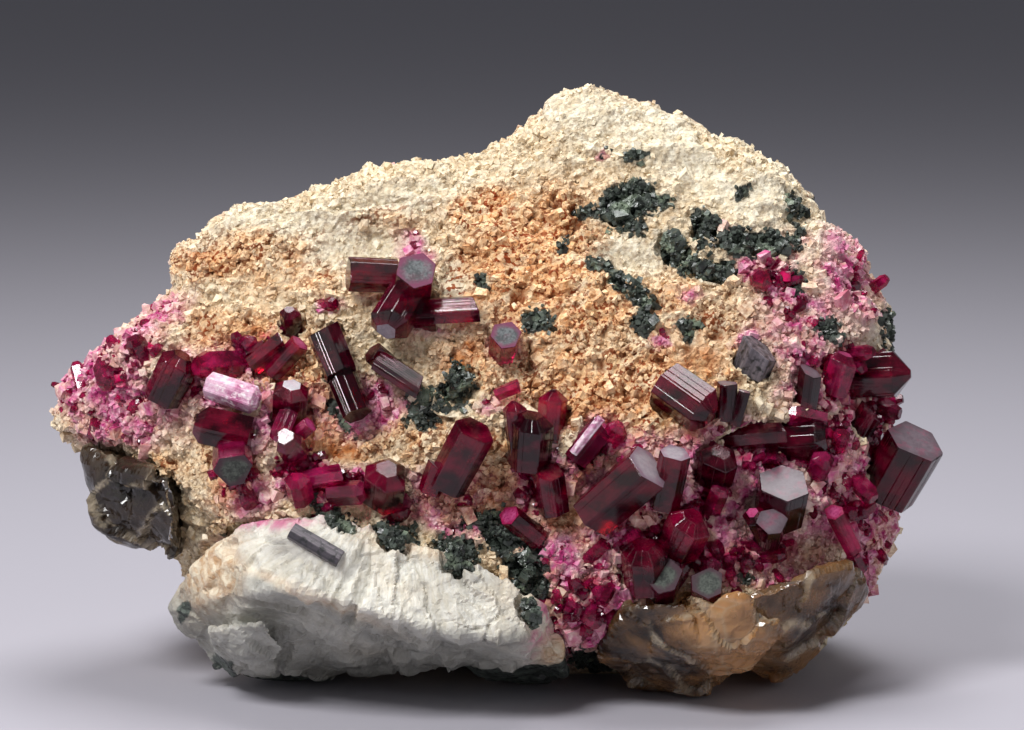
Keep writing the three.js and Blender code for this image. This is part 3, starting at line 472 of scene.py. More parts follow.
def stain_and_shade_group():
    """Stain and painted shade: the rock's colour from its zones and its tone, with painted shade in its
    hollows and small pits.
    """
    inputs = {"Tone": "Float", "Pits": "Float", "Hollow": "Float"}
    n, given, out = group_of("Stain and painted shade", inputs, {"Colour": "Color", "Gloss": "Float"})
    tone = given["Tone"]
    zone = {name: n.stored(name) for name in ZONES}
    colour = n.mix(tone, rgb(206, 178, 138), rgb(253, 240, 212))
    warm = n.mix(tone, rgb(220, 152, 92), rgb(255, 226, 178))
    warmth = n.calc("MULTIPLY", n.spread(zone["orange"], 0.0, .8),
                    n.spread(n.noise(300.0, 4.0), .3, .5, .25, 1.0))
    colour = n.mix(warmth, colour, warm)
    smooth = n.mix(tone, rgb(216, 198, 164), rgb(251, 244, 224))
    colour = n.mix(n.calc("MULTIPLY", zone["pale"], .9), colour, smooth)
    # The small pits: painted shade, darker where the rock is orange, with an orange-brown stain there.
    pit_stain_and_shade = n.calc("MULTIPLY", n.spread(zone["orange"], 0.0, .6, .45, 1.0), given["Pits"])
    colour = n.mix(pit_stain_and_shade, colour, n.mix(zone["orange"], rgb(122, 88, 56), rgb(150, 66, 22)))
    # The hollows of the relief: painted shade, less of it on the smooth pale rock, with an orange-brown
    # stain where the rock is orange.
    hollow = n.calc("MULTIPLY", given["Hollow"], n.spread(zone["pale"], 0.0, 1.0, .85, .4))
    colour = n.mix(hollow, colour, n.mix(zone["orange"], rgb(116, 90, 62), rgb(142, 72, 28)))
    # Deep hollows between the crystals: an orange-brown stain with painted shade.
    rust_and_hollow_shade = n.calc("MULTIPLY", n.spread(zone["rust_and_hollow_shade"], .1, .8),
                   n.spread(n.noise(420.0, 5.0), .36, .56, .15, 1.0))
    colour = n.mix(rust_and_hollow_shade, colour, n.mix(tone, rgb(112, 52, 20), rgb(214, 138, 76)))
    rosy = n.mix(n.spread(n.noise(330.0, 5.0), .38, .54), rgb(222, 150, 178), rgb(170, 32, 102))
    sparkling = n.mix(n.spread(n.noise(700.0, 3.0), .4, .6), rgb(246, 214, 216), rgb(202, 74, 140))
    rosy = n.mix(n.spread(tone, .2, 1.0), rosy, sparkling)
    patch = n.spread(n.noise(240.0, 6.0), .4, .54)
    pinkness = n.calc("MULTIPLY", n.spread(zone["pink"], .05, .8), n.spread(patch, 0.0, 1.0, .45, 1.0))
    colour = n.mix(pinkness, colour, rosy)
    deep = n.mix(n.spread(n.noise(520.0, 5.0), .4, .6), rgb(70, 2, 30), rgb(206, 14, 90))
    crimson = n.calc("MULTIPLY", n.spread(zone["crimson"], .05, .6),
                     n.spread(n.noise(260.0, 6.0), .44, .54))
    colour = n.mix(crimson, colour, deep)
    dark = n.mix(tone, rgb(17, 19, 17), rgb(92, 97, 90))
    ragged = n.calc("ADD", zone["green"], n.spread(n.noise(520.0, 5.0), .3, .7, -.3, .3))
    colour = n.mix(n.spread(ragged, .42, .56), colour, dark)
    n.put(out["Colour"], colour)
    n.put(out["Gloss"], n.calc("MAXIMUM", crimson, n.calc("MULTIPLY", zone["pink"], .5)))
    return n.tree


def striation_group():
    """Fine lines along a crystal's sides."""
    n, given, out = group_of("Striation", {"Section": "Vector"}, {"Height": "Float"})
    section = given["Section"]
    n.put(out["Height"], n.calc("ADD", n.noise(1.1, 4.0, section), n.noise(4.0, 2.0, section)))
    return n.tree


def veil_group():
    """Cloudy veils and cracks inside a clear stone."""
    n, given, out = group_of("Veils", {"Scale": "Float"}, {"Veil": "Float", "Crack": "Float"})
    turned_and_drawn = {"Vector": n.place(), "Rotation": (.5, .8, .3), "Scale": (1.0, .45, 1.6)}
    stretched = n.add("ShaderNodeMapping", turned_and_drawn)
    n.put(out["Veil"], n.spread(n.noise(given["Scale"], 5.0, stretched.outputs[0]), .38, .66))
    edge = n.cells(given["Scale"], "DISTANCE_TO_EDGE", vector=stretched.outputs[0])
    n.put(out["Crack"], n.spread(edge, 0.0, .06, 1.0, 0.0))
    return n.tree


GROUP_MAKERS = {
    "grain": grain_group, "stain": stain_and_shade_group, "striation": striation_group, "veils": veil_group,
}
GROUPS = {}


def group_named(name):
    """A shared node group, built the first time it is asked for."""
    if name not in GROUPS:
        GROUPS[name] = GROUP_MAKERS[name]()
    return GROUPS[name]


def material_of(name):
    """A material with a Principled shader, its nodes and the shader's inputs."""
    material = bpy.data.materials.new(name)
    material.use_nodes = True
    n = Nodes(material.node_tree)
    shader = n.add("ShaderNodeBsdfPrincipled")
    output = n.add("ShaderNodeOutputMaterial", {"Surface": shader.outputs[0]})
    return material, n, shader.inputs, output.inputs


def stain_and_shade_material(name, grain_scale, bump, pits):
    """Feldspar rock and its grains, coloured by zone, with painted shade in the hollows and small pits.
    """
    material, n, shader, _ = material_of(name)
    grain = n.group(group_named("grain"), {"Scale": grain_scale})
    tone = n.calc("ADD", n.calc("MULTIPLY", grain["Tone"], .6),
                  n.calc("MULTIPLY", n.stored("tone"), .4))
    # Zone colours with their stains, and painted shade in the hollows and small pits
    stain = n.group(group_named("stain"), {
        "Tone": tone, "Pits": n.calc("MULTIPLY", grain["Pits"], pits), "Hollow": n.stored("hollow")})
    n.put(shader["Base Color"], stain["Colour"])
    n.put(shader["Roughness"], n.spread(stain["Gloss"], 0.0, 1.0, .82, .3))
    n.put(shader["Normal"], n.bump(grain["Height"], bump, .0005))
    shader["Specular IOR Level"].default_value = .35
    return material


def green_material():
    """Dark green grains with small bright facets."""
    material, n, shader, _ = material_of("Green grains")
    tone = n.calc("ADD", n.calc("MULTIPLY", n.noise(900.0, 4.0), .7),
                  n.calc("MULTIPLY", n.stored("tone"), .5))
    colour = n.mix(n.spread(tone, .35, .95), rgb(16, 20, 17), rgb(86, 95, 86))
    colour = n.mix(n.spread(n.noise(240.0), .54, .68), colour, rgb(120, 132, 112))
    n.put(shader["Base Color"], colour)
    n.put(shader["Roughness"], n.spread(n.noise(1500.0), .3, .7, .12, .5))
    n.put(shader["Normal"], n.bump(n.noise(2200.0, 3.0), .4, .0002))
    return material


def white_material():
    """White feldspar with pearly cleavage, greyed by painted shade in its hollows, its small pits and
    on its face below the ridge, and dark green along its lower rim.
    """
    material, n, shader, _ = material_of("White feldspar")
    grain = n.group(group_named("grain"), {"Scale": 900.0})
    cloud = n.spread(n.noise(110.0, 5.0), .35, .65)
    colour = n.mix(cloud, rgb(196, 192, 182), rgb(232, 229, 218))
    creamy = n.calc("MULTIPLY", n.spread(n.noise(70.0, 4.0), .5, .66), .6)
    colour = n.mix(creamy, colour, rgb(232, 212, 180))
    streaks = n.noise(1.0, 4.0, n.stored("fan", "Vector"))
    colour = n.mix(n.spread(streaks, .44, .62, 0.0, .6), colour, rgb(196, 188, 168))
    # Painted shade: grey in the small pits, in the sunken parts of the cleavage and on the face below
    # the ridge.
    colour = n.mix(n.calc("MULTIPLY", grain["Pits"], .25), colour, rgb(150, 146, 136))
    colour = n.mix(n.calc("MULTIPLY", n.stored("hollow"), .55), colour, rgb(132, 130, 122))
    shaded = n.mix(cloud, rgb(104, 105, 100), rgb(162, 161, 154))
    colour = n.mix(n.calc("MULTIPLY", n.stored("under"), .8), colour, shaded)
    sandy = n.calc("MULTIPLY", n.stored("orange"), .8)
    colour = n.mix(sandy, colour, n.mix(grain["Tone"], rgb(196, 150, 100), rgb(244, 228, 198)))
    rosy = n.calc("MULTIPLY", n.stored("pink"), n.spread(n.noise(420.0, 5.0), .4, .58))
    colour = n.mix(rosy, colour, rgb(206, 96, 146))
    edge = n.calc("ADD", n.stored("rim"), n.calc("MULTIPLY", n.noise(300.0, 5.0), .9))
    edge = n.spread(edge, .98, 1.1)
    colour = n.mix(edge, colour, n.mix(grain["Tone"], rgb(24, 27, 25), rgb(84, 92, 84)))
    n.put(shader["Base Color"], colour)
    n.put(shader["Roughness"], n.spread(n.noise(400.0), .3, .7, .32, .6))
    height = n.calc("ADD", grain["Height"], n.calc("MULTIPLY", streaks, 5.0))
    n.put(shader["Normal"], n.bump(height, .3, .0004))
    shader["Subsurface Weight"].default_value = .25
    shader["Subsurface Radius"].default_value = (.9, .8, .7)
    shader["Subsurface Scale"].default_value = .0015
    return material


def crystal_material(name, dark, bright, veil_scale, density, absorbed, roughness=.05, lined=.25):
    """Clear tourmaline: a see-through body that swallows most colours but red."""
    material, n, shader, output = material_of(name)
    veils = n.group(group_named("veils"), {"Scale": veil_scale})
    # The colour runs from dark to bright crimson: partly the crystal's own colour, partly a painted
    # glow of light coming through it.
    glow = n.calc("MULTIPLY", n.stored("tint"), n.spread(veils["Veil"], .1, 1.0, .08, 1.15))
    n.put(shader["Base Color"], n.mix(n.spread(glow, 0.0, 1.0), dark, bright))
    n.put(shader["Roughness"], n.spread(veils["Veil"], 0.0, 1.0, roughness, roughness + .12))
    lines = n.group(group_named("striation"), {"Section": n.stored("section", "Vector")})
    n.put(shader["Normal"], n.bump(lines["Height"], lined, .00006))
    shader["Transmission Weight"].default_value = .8
    shader["Specular IOR Level"].default_value = .2
    shader["IOR"].default_value = 1.52
    body = n.add("ShaderNodeVolumeAbsorption")
    body.inputs["Color"].default_value = absorbed
    body.inputs["Density"].default_value = density
    n.put(output["Volume"], body.outputs[0])
    return material


def cap_material(name, rim, middle, body, mottle, roughness):
    """The end face of a crystal, from its rim to its middle, in screen values of 0 to 255."""
    material, n, shader, _ = material_of(name)
    rim, middle, body = rgb(*rim), rgb(*middle), rgb(*body)
    wavy = n.calc("ADD", n.stored("radial"), n.spread(n.noise(420.0, 4.0), .2, .8, -.25, .25))
    speckle = n.noise(2600.0, 3.0)
    inner = n.mix(n.spread(n.calc("ADD", speckle, n.noise(700.0, 4.0)), .85, 1.15), middle, body)
    colour = n.mix(n.spread(wavy, .52, .8), inner, rim)
    mottled = n.calc("MULTIPLY", n.spread(n.noise(600.0, 4.0), .5, .68), mottle)
    colour = n.mix(mottled, colour, rgb(170, 24, 84))
    n.put(shader["Base Color"], colour)
    n.put(shader["Roughness"], n.spread(speckle, .3, .7, roughness, roughness + .18))
    n.put(shader["Normal"], n.bump(n.noise(1800.0, 3.0), .12, .0002))
    shader["Coat Weight"].default_value = .12
    shader["Coat Roughness"].default_value = .15
    return material


def frosted_material():
    """Pink tourmaline with a rough, partly white skin."""
    material, n, shader, _ = material_of("Frosted tourmaline")
    patch = n.spread(n.noise(380.0, 6.0, rough=.65), .4, .6)
    colour = n.mix(patch, rgb(170, 92, 132), rgb(218, 178, 198))
    colour = n.mix(n.spread(n.noise(900.0, 5.0), .5, .64), colour, rgb(238, 222, 226))
    n.put(shader["Base Color"], colour)
    n.put(shader["Roughness"], n.spread(patch, 0.0, 1.0, .25, .6))
    lines = n.group(group_named("striation"), {"Section": n.stored("section", "Vector")})
    n.put(shader["Normal"], n.bump(n.calc("ADD", lines["Height"], n.noise(1300.0, 5.0)), .7, .0004))
    shader["Subsurface Weight"].default_value = .2
    shader["Subsurface Radius"].default_value = (1.0, .4, .6)
    shader["Subsurface Scale"].default_value = .001
    return material


def quartz_material(name, dark, light, density, absorbed, transmission, grain):
    """Smoky quartz with veils, cracks and a glassy broken surface."""
    material, n, shader, output = material_of(name)
    veils = n.group(group_named("veils"), {"Scale": 130.0})
    tone = n.stored("tone")
    lightness = n.calc("ADD", n.calc("MULTIPLY", veils["Veil"], .6), n.calc("MULTIPLY", tone, .7))
    colour = n.mix(lightness, dark, light)
    cracks = n.calc("MULTIPLY", veils["Crack"], n.calc("MULTIPLY", tone, .4))
    colour = n.mix(cracks, colour, rgb(236, 214, 178))
    stains = n.calc("MULTIPLY", n.spread(n.noise(160.0, 5.0), .4, .6), n.stored("stain"))
    colour = n.mix(stains, colour, rgb(40, 27, 17))
    edge = n.calc("MULTIPLY", n.stored("edge"), n.spread(n.noise(260.0, 4.0), .42, .6, 0.0, .75))
    colour = n.mix(edge, colour, rgb(222, 204, 176))
    n.put(shader["Base Color"], colour)
    n.put(shader["Roughness"], n.spread(n.noise(330.0, 4.0), .3, .7, .06, .28))
    n.put(shader["Normal"], n.bump(n.noise(230.0, 5.0), grain, .0005))
    shader["Transmission Weight"].default_value = transmission
    shader["IOR"].default_value = 1.54
    body = n.add("ShaderNodeVolumeAbsorption")
    body.inputs["Color"].default_value = absorbed
    body.inputs["Density"].default_value = density
    n.put(output["Volume"], body.outputs[0])
    return material


def grey_material():
    """Dull grey to green-black tourmaline."""
    material, n, shader, _ = material_of("Grey tourmaline")
    section = n.stored("section", "Vector")
    colour = n.mix(n.spread(n.noise(1.4, 3.0, section), .35, .65), rgb(52, 48, 54), rgb(122, 114, 120))
    colour = n.mix(n.spread(n.noise(900.0, 4.0), .5, .64), colour, rgb(30, 32, 32))
    n.put(shader["Base Color"], colour)
    n.put(shader["Roughness"], n.spread(n.noise(700.0), .3, .7, .28, .6))
    lines = n.group(group_named("striation"), {"Section": section})
    n.put(shader["Normal"], n.bump(lines["Height"], .5, .0002))
    return material


# Rock

def dressed_rock(voxel, roughness):
    """The feldspar rock with its ledges, sugary grain and pits, whose heights are in mm."""
    rock = remeshed("matrix_rock", ["feldspar_matrix"], voxel)
    points, normals = points_and_normals(rock)
    zones = zones_at(points, normals)
    smooth = np.clip(zones["pale"], 0, 1)
    porous = np.clip(.35 + zones["orange"] * .8 + zones["pink"] * .3 - smooth * .35, 0, 1)
    lumps = .8 * layered_noise(points, 8.5, 1)
    layers = layered_noise(points * np.array([.35, .8, 1.5]), 3.4, 5, 2)
    strata = points @ np.array([.03, .1, .0]) + layers
    ledge = .8 * (smooth + .2) * strata
    chunks = .95 * facets(points + .5 * layered_noise(points, 4, 31)[:, None], 3.4, 11)
    chunks = chunks * (1 - .55 * smooth)
    crumbs = .6 * (abs(layered_noise(points, 1.9, 17)) * 1.6 - .4) * (1 - .65 * smooth)
    warped = points + 1.1 * layered_noise(points, 2.2, 37)[:, None]
    hole_nearest, _, hole_number = cell_noise(warped, 4.2, 23)
    holes = -1.8 * faded(-hole_nearest, -.46, -.12) * (hole_number > .5) * porous
    small_nearest, _, small_number = cell_noise(warped, 1.9, 29)
    small = -1.15 * faded(-small_nearest, -.46, -.16) * (small_number > .5) * (.15 + porous * .9)
    relief = lumps + ledge + chunks + crumbs + holes + small - .55 * zones["front"]
    base = faded(points[:, 2], .3, 2.0)
    set_points(rock, points + normals * (relief * roughness * base)[:, None])
    # Painted shade: hollow is where the relief sinks in, to be darkened, and the tone is lighter where
    # the crumbs and chunks stand out and darker where they sink.
    hollow = np.clip(-(crumbs * .6 + holes * .75 + small) - .1, 0, 1)
    write(rock, hollow=hollow, tone=np.clip(.45 + .8 * crumbs + .3 * chunks, 0, 1), **zones)
    zones["hollow"] = hollow
    return rock, zones


# Grains

CHIP_POINTS = 8
CHIP_JITTER = .3  # how far a grain's corners stray, in half widths
LONGEST_CHIP = 1.5  # times the usual length
PRISM_POINTS = 18
CUBE = np.array([[x, y, z] for x in (-1, 1) for y in (-1, 1) for z in (-1, 1)], float)
CUBE_FACES = np.array([[0, 1, 3, 2], [4, 6, 7, 5], [0, 4, 5, 1],
                       [2, 3, 7, 6], [0, 2, 6, 4], [1, 5, 7, 3]])


def scattered(made, weight, count, rng):
    """Points on a mesh, more of them where the weight at its corners is higher, with their normals."""
    points, normals = points_and_normals(made)
    corners = corners_of_faces(made)
    a, b, c, d = (points[corners[:, i]] for i in range(4))
    area = np.linalg.norm(np.cross(c - a, d - b), axis=1) / 2
    area += np.linalg.norm(np.cross(b - a, c - a), axis=1) / 2 * (corners[:, 2] == corners[:, 3])
    share = area * weight[corners].mean(axis=1)
    picked = rng.choice(len(share), count, p=share / share.sum())
    s, t = rng.random((2, count, 1))
    low = a[picked] * (1 - s) + b[picked] * s
    high = d[picked] * (1 - s) + c[picked] * s
    return low * (1 - t) + high * t, normals[corners[picked, 0]], corners[picked, 0]


def turned(count, rng):
    """Random rotations."""
    w, x, y, z = (q := rng.normal(size=(4, count))) / np.linalg.norm(q, axis=0)
    rows = [[1 - 2 * (y * y + z * z), 2 * (x * y - z * w), 2 * (x * z + y * w)],
            [2 * (x * y + z * w), 1 - 2 * (x * x + z * z), 2 * (y * z - x * w)],
            [2 * (x * z - y * w), 2 * (y * z + x * w), 1 - 2 * (x * x + y * y)]]
    return np.array(rows).transpose(2, 0, 1)


def chips(name, places, sizes, rng):
    """Angular grains at the places, as one mesh. Sizes are half widths in mm."""
    count = len(places)
    shape = CUBE + rng.uniform(-CHIP_JITTER, CHIP_JITTER, (count, CHIP_POINTS, 3))
    shape *= np.exp(rng.uniform(-.35, math.log(LONGEST_CHIP), (count, 1, 3))) * sizes[:, None, None]
    shape = np.einsum("nij,nkj->nki", turned(count, rng), shape)
    faces = CUBE_FACES[None] + CHIP_POINTS * np.arange(count)[:, None, None]
    points = (places[:, None] + shape).reshape(-1, 3)
    points[:, 2] = np.maximum(points[:, 2], ABOVE_FLOOR)
    made = mesh_of(name, points, faces.reshape(-1, 4))
    write(made, tone=np.repeat(rng.random(count), CHIP_POINTS))
    return made


def prisms(name, places, outward, widths, lengths, rng):
    """Small six-sided crystals that stand out of the places, as one mesh."""
    count = len(places)
    axis = outward + rng.normal(scale=.55, size=(count, 3))
    axis /= np.linalg.norm(axis, axis=1, keepdims=True)
    first = np.cross(axis, rng.normal(size=(count, 3)))
    first /= np.linalg.norm(first, axis=1, keepdims=True)
    second = np.cross(axis, first)
    turns = np.radians([0, 48, 120, 168, 240, 288])
    cosines, sines = (values[None, :, None] for values in (np.cos(turns), np.sin(turns)))
    ring = (first[:, None] * cosines + second[:, None] * sines) * (widths / 2)[:, None, None]
    rings = [places[:, None] + ring * share + (axis * (lengths * along)[:, None])[:, None]
             for share, along in ((.9, -.45), (1.0, .4), (.62, .55))]
    points = np.concatenate(rings, axis=1)
    sides = [[i + 6 * r, (i + 1) % 6 + 6 * r, (i + 1) % 6 + 6 * (r + 1), i + 6 * (r + 1)]
             for r in range(2) for i in range(6)]
    ends = [[12, 13, 14, 15], [12, 15, 16, 17], [3, 2, 1, 0], [5, 4, 3, 0]]
    faces = np.array(sides + ends)[None] + PRISM_POINTS * np.arange(count)[:, None, None]
    points = points.reshape(-1, 3)
    made = mesh_of(name, points, faces.reshape(-1, 4))
    # How far each small crystal's colour goes from dark to bright, partly a painted glow.
    tint = np.repeat(rng.uniform(.3, 1, count), PRISM_POINTS)
    number = np.repeat(rng.random(count) * 90, PRISM_POINTS)
    section = np.stack([number, points[:, 0], points[:, 2]], 1)
    write(made, tint=tint, section=section)
    return made


def sized(rng, count, typical, spread):
    """Random sizes around a typical one."""
    return typical * np.exp(rng.normal(scale=spread, size=count))


# Crystals. A row is the tip's spot and depth, its angle in the picture, how far it leans at the viewer,
# its width and length in pixels, head, turn, tint from dark to bright, partly a painted glow, and end
# face.

CRYSTALS = {
    "tourmaline_upper_group": [
        (348, 275, -17.3, 178, 12, 37, 50, "flat", 20, .45, "clear"),
        (417, 270, -23.6, 80, 62, 44, 53, "flat", 10, .6, "cored"),
        (386, 332, -25.3, 240, 38, 46, 65, "low", 0, .45, "pearly"),
        (482, 309, -21.3, 3, 8, 30, 83, "slanted", 35, .75, "etched"),
    ],
    "tourmaline_upper_stub": [(289, 309, -16.1, 95, 35, 23, 31, "low", 0, .5, "clear")],
    "tourmaline_long_blade": [
        (320, 322, -18.8, 113, -24, 37, 64, "slanted", 12, .25, "clear"),
        (335, 360, -21.6, 113, -24, 33, 65, "flat", 40, .1, "clear"),
    ],
    "tourmaline_mid_bar": [
        (424, 391, -27.4, -33, 16, 28, 57, "slanted", 25, .35, "rosy"),
        (372, 352, -22.1, 140, 25, 24, 29, "flat", 5, .3, "clear"),
    ],
    "tourmaline_left_pair": [
        (287, 338, -19.1, 38, 18, 26, 46, "slanted", 0, .8, "rosy"),
        (300, 343, -20.8, 47, 20, 22, 45, "flat", 30, .8, "rosy"),
    ],
    "tourmaline_left_barrel": [(292, 384, -26.1, 84, 34, 40, 43, "low", 25, .7, "pearly")],
    "tourmaline_far_left": [(183, 354, -18.4, 62, 24, 42, 55, "low", 10, .7, "clear")],
    "tourmaline_left_block": [(194, 424, -24.5, 168, -6, 44, 60, "low", 30, .6, "clear")],
    "tourmaline_left_rosette": [(234, 470, -31.3, -80, 58, 42, 43, "flat", 0, .6, "mossy")],
    "tourmaline_frosted_bar": [(260, 402, -25.4, -18, 14, 31, 57, "low", 0, .9, "frosted")],
    "tourmaline_low_barrel": [(387, 468, -34.0, 82, 50, 48, 50, "low", 18, .75, "clear")],
    "tourmaline_centre_column": [
        (476, 430, -34.1, 62, 26, 46, 71, "flat", 12, .55, "clear"),
        (440, 462, -31.7, 70, 20, 26, 34, "slanted", 30, .6, "etched"),
    ],
    "tourmaline_centre_group": [
        (513, 401, -30.3, 97, 14, 26, 57, "pointed", 15, .7, "clear"),
        (532, 414, -31.8, 86, 24, 46, 57, "low", 0, .4, "clear"),
        (554, 389, -27.1, 84, 12, 31, 53, "pointed", 30, .9, "clear"),
    ],
    "tourmaline_small_upper": [(522, 384, -28.0, 22, 20, 15, 29, "slanted", 0, .8, "clear")],
    "tourmaline_centre_stem": [(546, 463, -31.3, 99, 16, 35, 53, "slanted", 20, .75, "clear")],
    "tourmaline_striped": [
        (605, 421, -29.8, 52, 16, 31, 50, "slanted", 8, .5, "rosy"),
        (601, 418, -31.9, 52, 14, 10, 46, "flat", 0, 1, "frosted"),
    ],
    "tourmaline_great_pair": [
        (648, 466, -34.8, 42, 26, 55, 84, "flat", 14, .5, "pearly"),
        (675, 453, -34.5, 80, 30, 33, 64, "flat", 40, .5, "pearly"),
    ],
    "tourmaline_upper_right": [
        (712, 417, -30.2, -36, 22, 51, 62, "low", 10, .55, "clear"),
        (727, 383, -26.9, 88, 14, 22, 38, "flat", 0, .3, "etched"),
        (745, 391, -26.9, 74, 12, 14, 36, "flat", 20, .3, "etched"),
    ],
    "tourmaline_right_gleam": [(721, 451, -30.5, 80, 45, 42, 41, "low", 28, .35, "clear")],
    "tourmaline_right_bar": [(788, 434, -24.9, 5, 8, 26, 76, "slanted", 15, .5, "rosy")],
    "tourmaline_right_barrel": [(828, 436, -21.6, 4, 16, 48, 58, "low", 0, .5, "clear")],
    "tourmaline_right_slab": [(811, 366, -20.6, 83, 12, 24, 45, "slanted", 10, .3, "etched")],
    "tourmaline_rose": [(845, 353, -16.1, 74, 18, 33, 43, "low", 20, 1, "rosy")],
    "tourmaline_right_edge": [(911, 374, -10.2, 3, 12, 52, 62, "pointed", 30, .5, "clear")],
    "tourmaline_right_leaf": [(874, 406, -13.2, 62, 22, 27, 46, "slanted", 0, .5, "clear")],
    "tourmaline_far_right": [
        (916, 441, -13.2, 64, 33, 66, 71, "flat", 22, .35, "etched"),
        (882, 444, -11.2, 100, 30, 20, 40, "pointed", 0, .8, "rosy"),
    ],
    "tourmaline_grey_group": [
        (784, 483, -28.6, 84, 44, 55, 50, "flat", 26, .2, "etched"),
        (772, 521, -30.8, 86, 62, 33, 40, "flat", 0, .2, "etched"),
        (752, 512, -29.4, 120, 40, 26, 34, "low", 0, .6, "rosy"),
    ],
    "tourmaline_lower_right": [(694, 515, -34.0, 66, 38, 48, 48, "low", 15, .9, "clear")],
    "tourmaline_lower_mid": [(643, 543, -34.5, 96, 30, 51, 52, "low", 0, .55, "clear")],
    "tourmaline_right_needle": [(832, 508, -22.8, 118, 18, 21, 53, "slanted", 0, .9, "rosy")],
    "tourmaline_lower_bar": [(505, 512, -31.0, 140, 18, 24, 48, "slanted", 0, .6, "rosy")],
    "tourmaline_crimson_chip": [(722, 487, -29.9, 70, 40, 22, 29, "low", 0, 1, "clear")],
    "tourmaline_right_bead": [(825, 456, -24.5, 70, 50, 26, 29, "low", 0, 1, "clear")],
    "tourmaline_edge_bead": [(843, 432, -20.3, 80, 50, 19, 24, "low", 0, 1, "clear")],
    "tourmaline_magenta_row": [
        (296, 476, -32.1, 100, 40, 28, 33, "low", 0, 1, "clear"),
        (346, 473, -30.9, 10, 20, 21, 48, "slanted", 20, 1, "rosy"),
    ],
    "tourmaline_magenta_low": [(366, 492, -32.0, 5, 26, 26, 40, "low", 0, 1, "clear")],
    "tourmaline_left_chips": [
        (310, 424, -28.2, 40, 22, 19, 38, "flat", 0, .9, "rosy"),
        (278, 440, -30.3, 250, 40, 24, 34, "low", 0, .8, "rosy"),
    ],
    "tourmaline_ring": [(506, 335, -26.5, 80, 60, 34, 34, "flat", 0, .8, "cored")],
    "tourmaline_in_block": [(340, 560, -38.7, -30, 6, 21, 57, "flat", 15, 0, "clear")],
    "tourmaline_grey_slab": [(763, 340, -22.9, 70, 34, 42, 38, "slanted", 30, 0, "clear")],
    "tourmaline_green_core_left": [(663, 575, -34.8, 90, 64, 42, 36, "flat", 0, 0, "mossy")],
    "tourmaline_green_core_right": [(708, 583, -34.4, 90, 64, 37, 36, "flat", 20, 0, "mossy")],
}

# Crystals between those, without a depth and an end: their tips lie on the rock as it is seen
BETWEEN = {
    "red_tourmaline": [
        (440, 322, 3, 26, 20, 40, "slanted", 10, .7), (603, 434, 52, 28, 22, 44, "low", 20, .5),
        (777, 441, 5, 24, 20, 50, "low", 0, .5), (404, 520, -60, 30, 22, 34, "low", 15, .8),
        (874, 404, 70, 26, 24, 42, "slanted", 30, .5), (598, 502, 200, 26, 28, 40, "low", 10, .8),
        (708, 400, 80, 28, 24, 38, "low", 25, .7), (163, 378, 60, 30, 18, 32, "low", 0, .9),
        (268, 345, 20, 26, 18, 40, "slanted", 5, .6), (862, 440, 110, 30, 22, 36, "low", 12, .5),
        (545, 508, 110, 30, 18, 34, "low", 0, .6), (742, 452, 30, 34, 18, 30, "low", 0, .7),
        (628, 560, 120, 34, 26, 38, "low", 30, .6), (810, 405, 60, 30, 22, 34, "low", 8, .6),
    ],
    "pink_tourmaline": [
        (276, 396, 80, 40, 16, 30, "low", 0, 1), (620, 424, 60, 34, 24, 36, "low", 20, 1),
        (372, 478, 30, 34, 17, 30, "slanted", 0, 1), (450, 468, 130, 40, 16, 28, "low", 10, .9),
        (568, 396, 80, 34, 13, 28, "pointed", 0, 1), (640, 446, 60, 44, 15, 24, "low", 0, .9),
        (880, 440, 60, 34, 16, 26, "pointed", 0, 1), (845, 476, 90, 44, 15, 26, "low", 0, 1),
        (690, 548, 100, 40, 20, 32, "low", 20, 1), (598, 588, 110, 40, 18, 30, "low", 0, 1),
        (575, 600, 60, 44, 16, 28, "low", 12, 1), (613, 612, 80, 44, 15, 24, "low", 0, 1),
        (748, 556, 70, 40, 18, 30, "low", 0, 1), (736, 588, 90, 44, 14, 24, "low", 0, 1),
        (828, 402, 60, 40, 15, 26, "low", 20, 1), (850, 550, 120, 34, 16, 30, "slanted", 0, 1),
        (110, 372, 80, 44, 17, 26, "low", 0, .8), (84, 394, 120, 40, 16, 26, "low", 0, .9),
        (97, 420, 70, 44, 15, 24, "low", 10, .8), (132, 346, 60, 40, 15, 28, "low", 0, .9),
        (142, 402, 30, 44, 15, 24, "low", 0, .9), (415, 242, 80, 40, 11, 20, "low", 0, 1),
        (248, 362, 40, 40, 14, 24, "low", 0, 1), (336, 506, 20, 34, 17, 30, "slanted", 0, 1),
        (300, 500, 60, 44, 15, 26, "low", 0, 1), (770, 298, 60, 40, 13, 24, "low", 0, .9),
        (797, 282, 70, 40, 12, 22, "low", 0, .9), (814, 318, 80, 40, 13, 24, "low", 0, 1),
        (470, 498, 40, 44, 15, 24, "low", 0, .9), (705, 476, 90, 44, 14, 24, "low", 0, 1),
        (562, 470, 60, 44, 13, 22, "low", 0, 1), (850, 345, 40, 40, 14, 24, "low", 0, 1),
        (212, 470, 110, 40, 14, 24, "low", 0, .9), (256, 470, 60, 44, 14, 24, "low", 0, 1),
    ],
}
HEADS = {  # rise of the shoulder in radii, share of the radius at the top, slant in radii
    "flat": (0, 1, 0), "slanted": (0, 1, .45), "low": (.34, .5, .1), "pointed": (.62, .16, 0),
}
NARROW_SIDE = 50  # degrees that the narrow side takes of each third of the outline
GROOVES = 3  # at most, on each side
CUT_CORNER = .035  # share of a side that a cut corner takes
TIP_LIFT = .35  # how far the tips of the crystals between stand off the rock, in widths
PINK = ("left_rosette", "frosted_bar", "small_upper", "striped", "rose", "right_needle", "crimson_chip",
        "right_bead", "edge_bead", "magenta_row", "magenta_low", "left_chips", "ring")
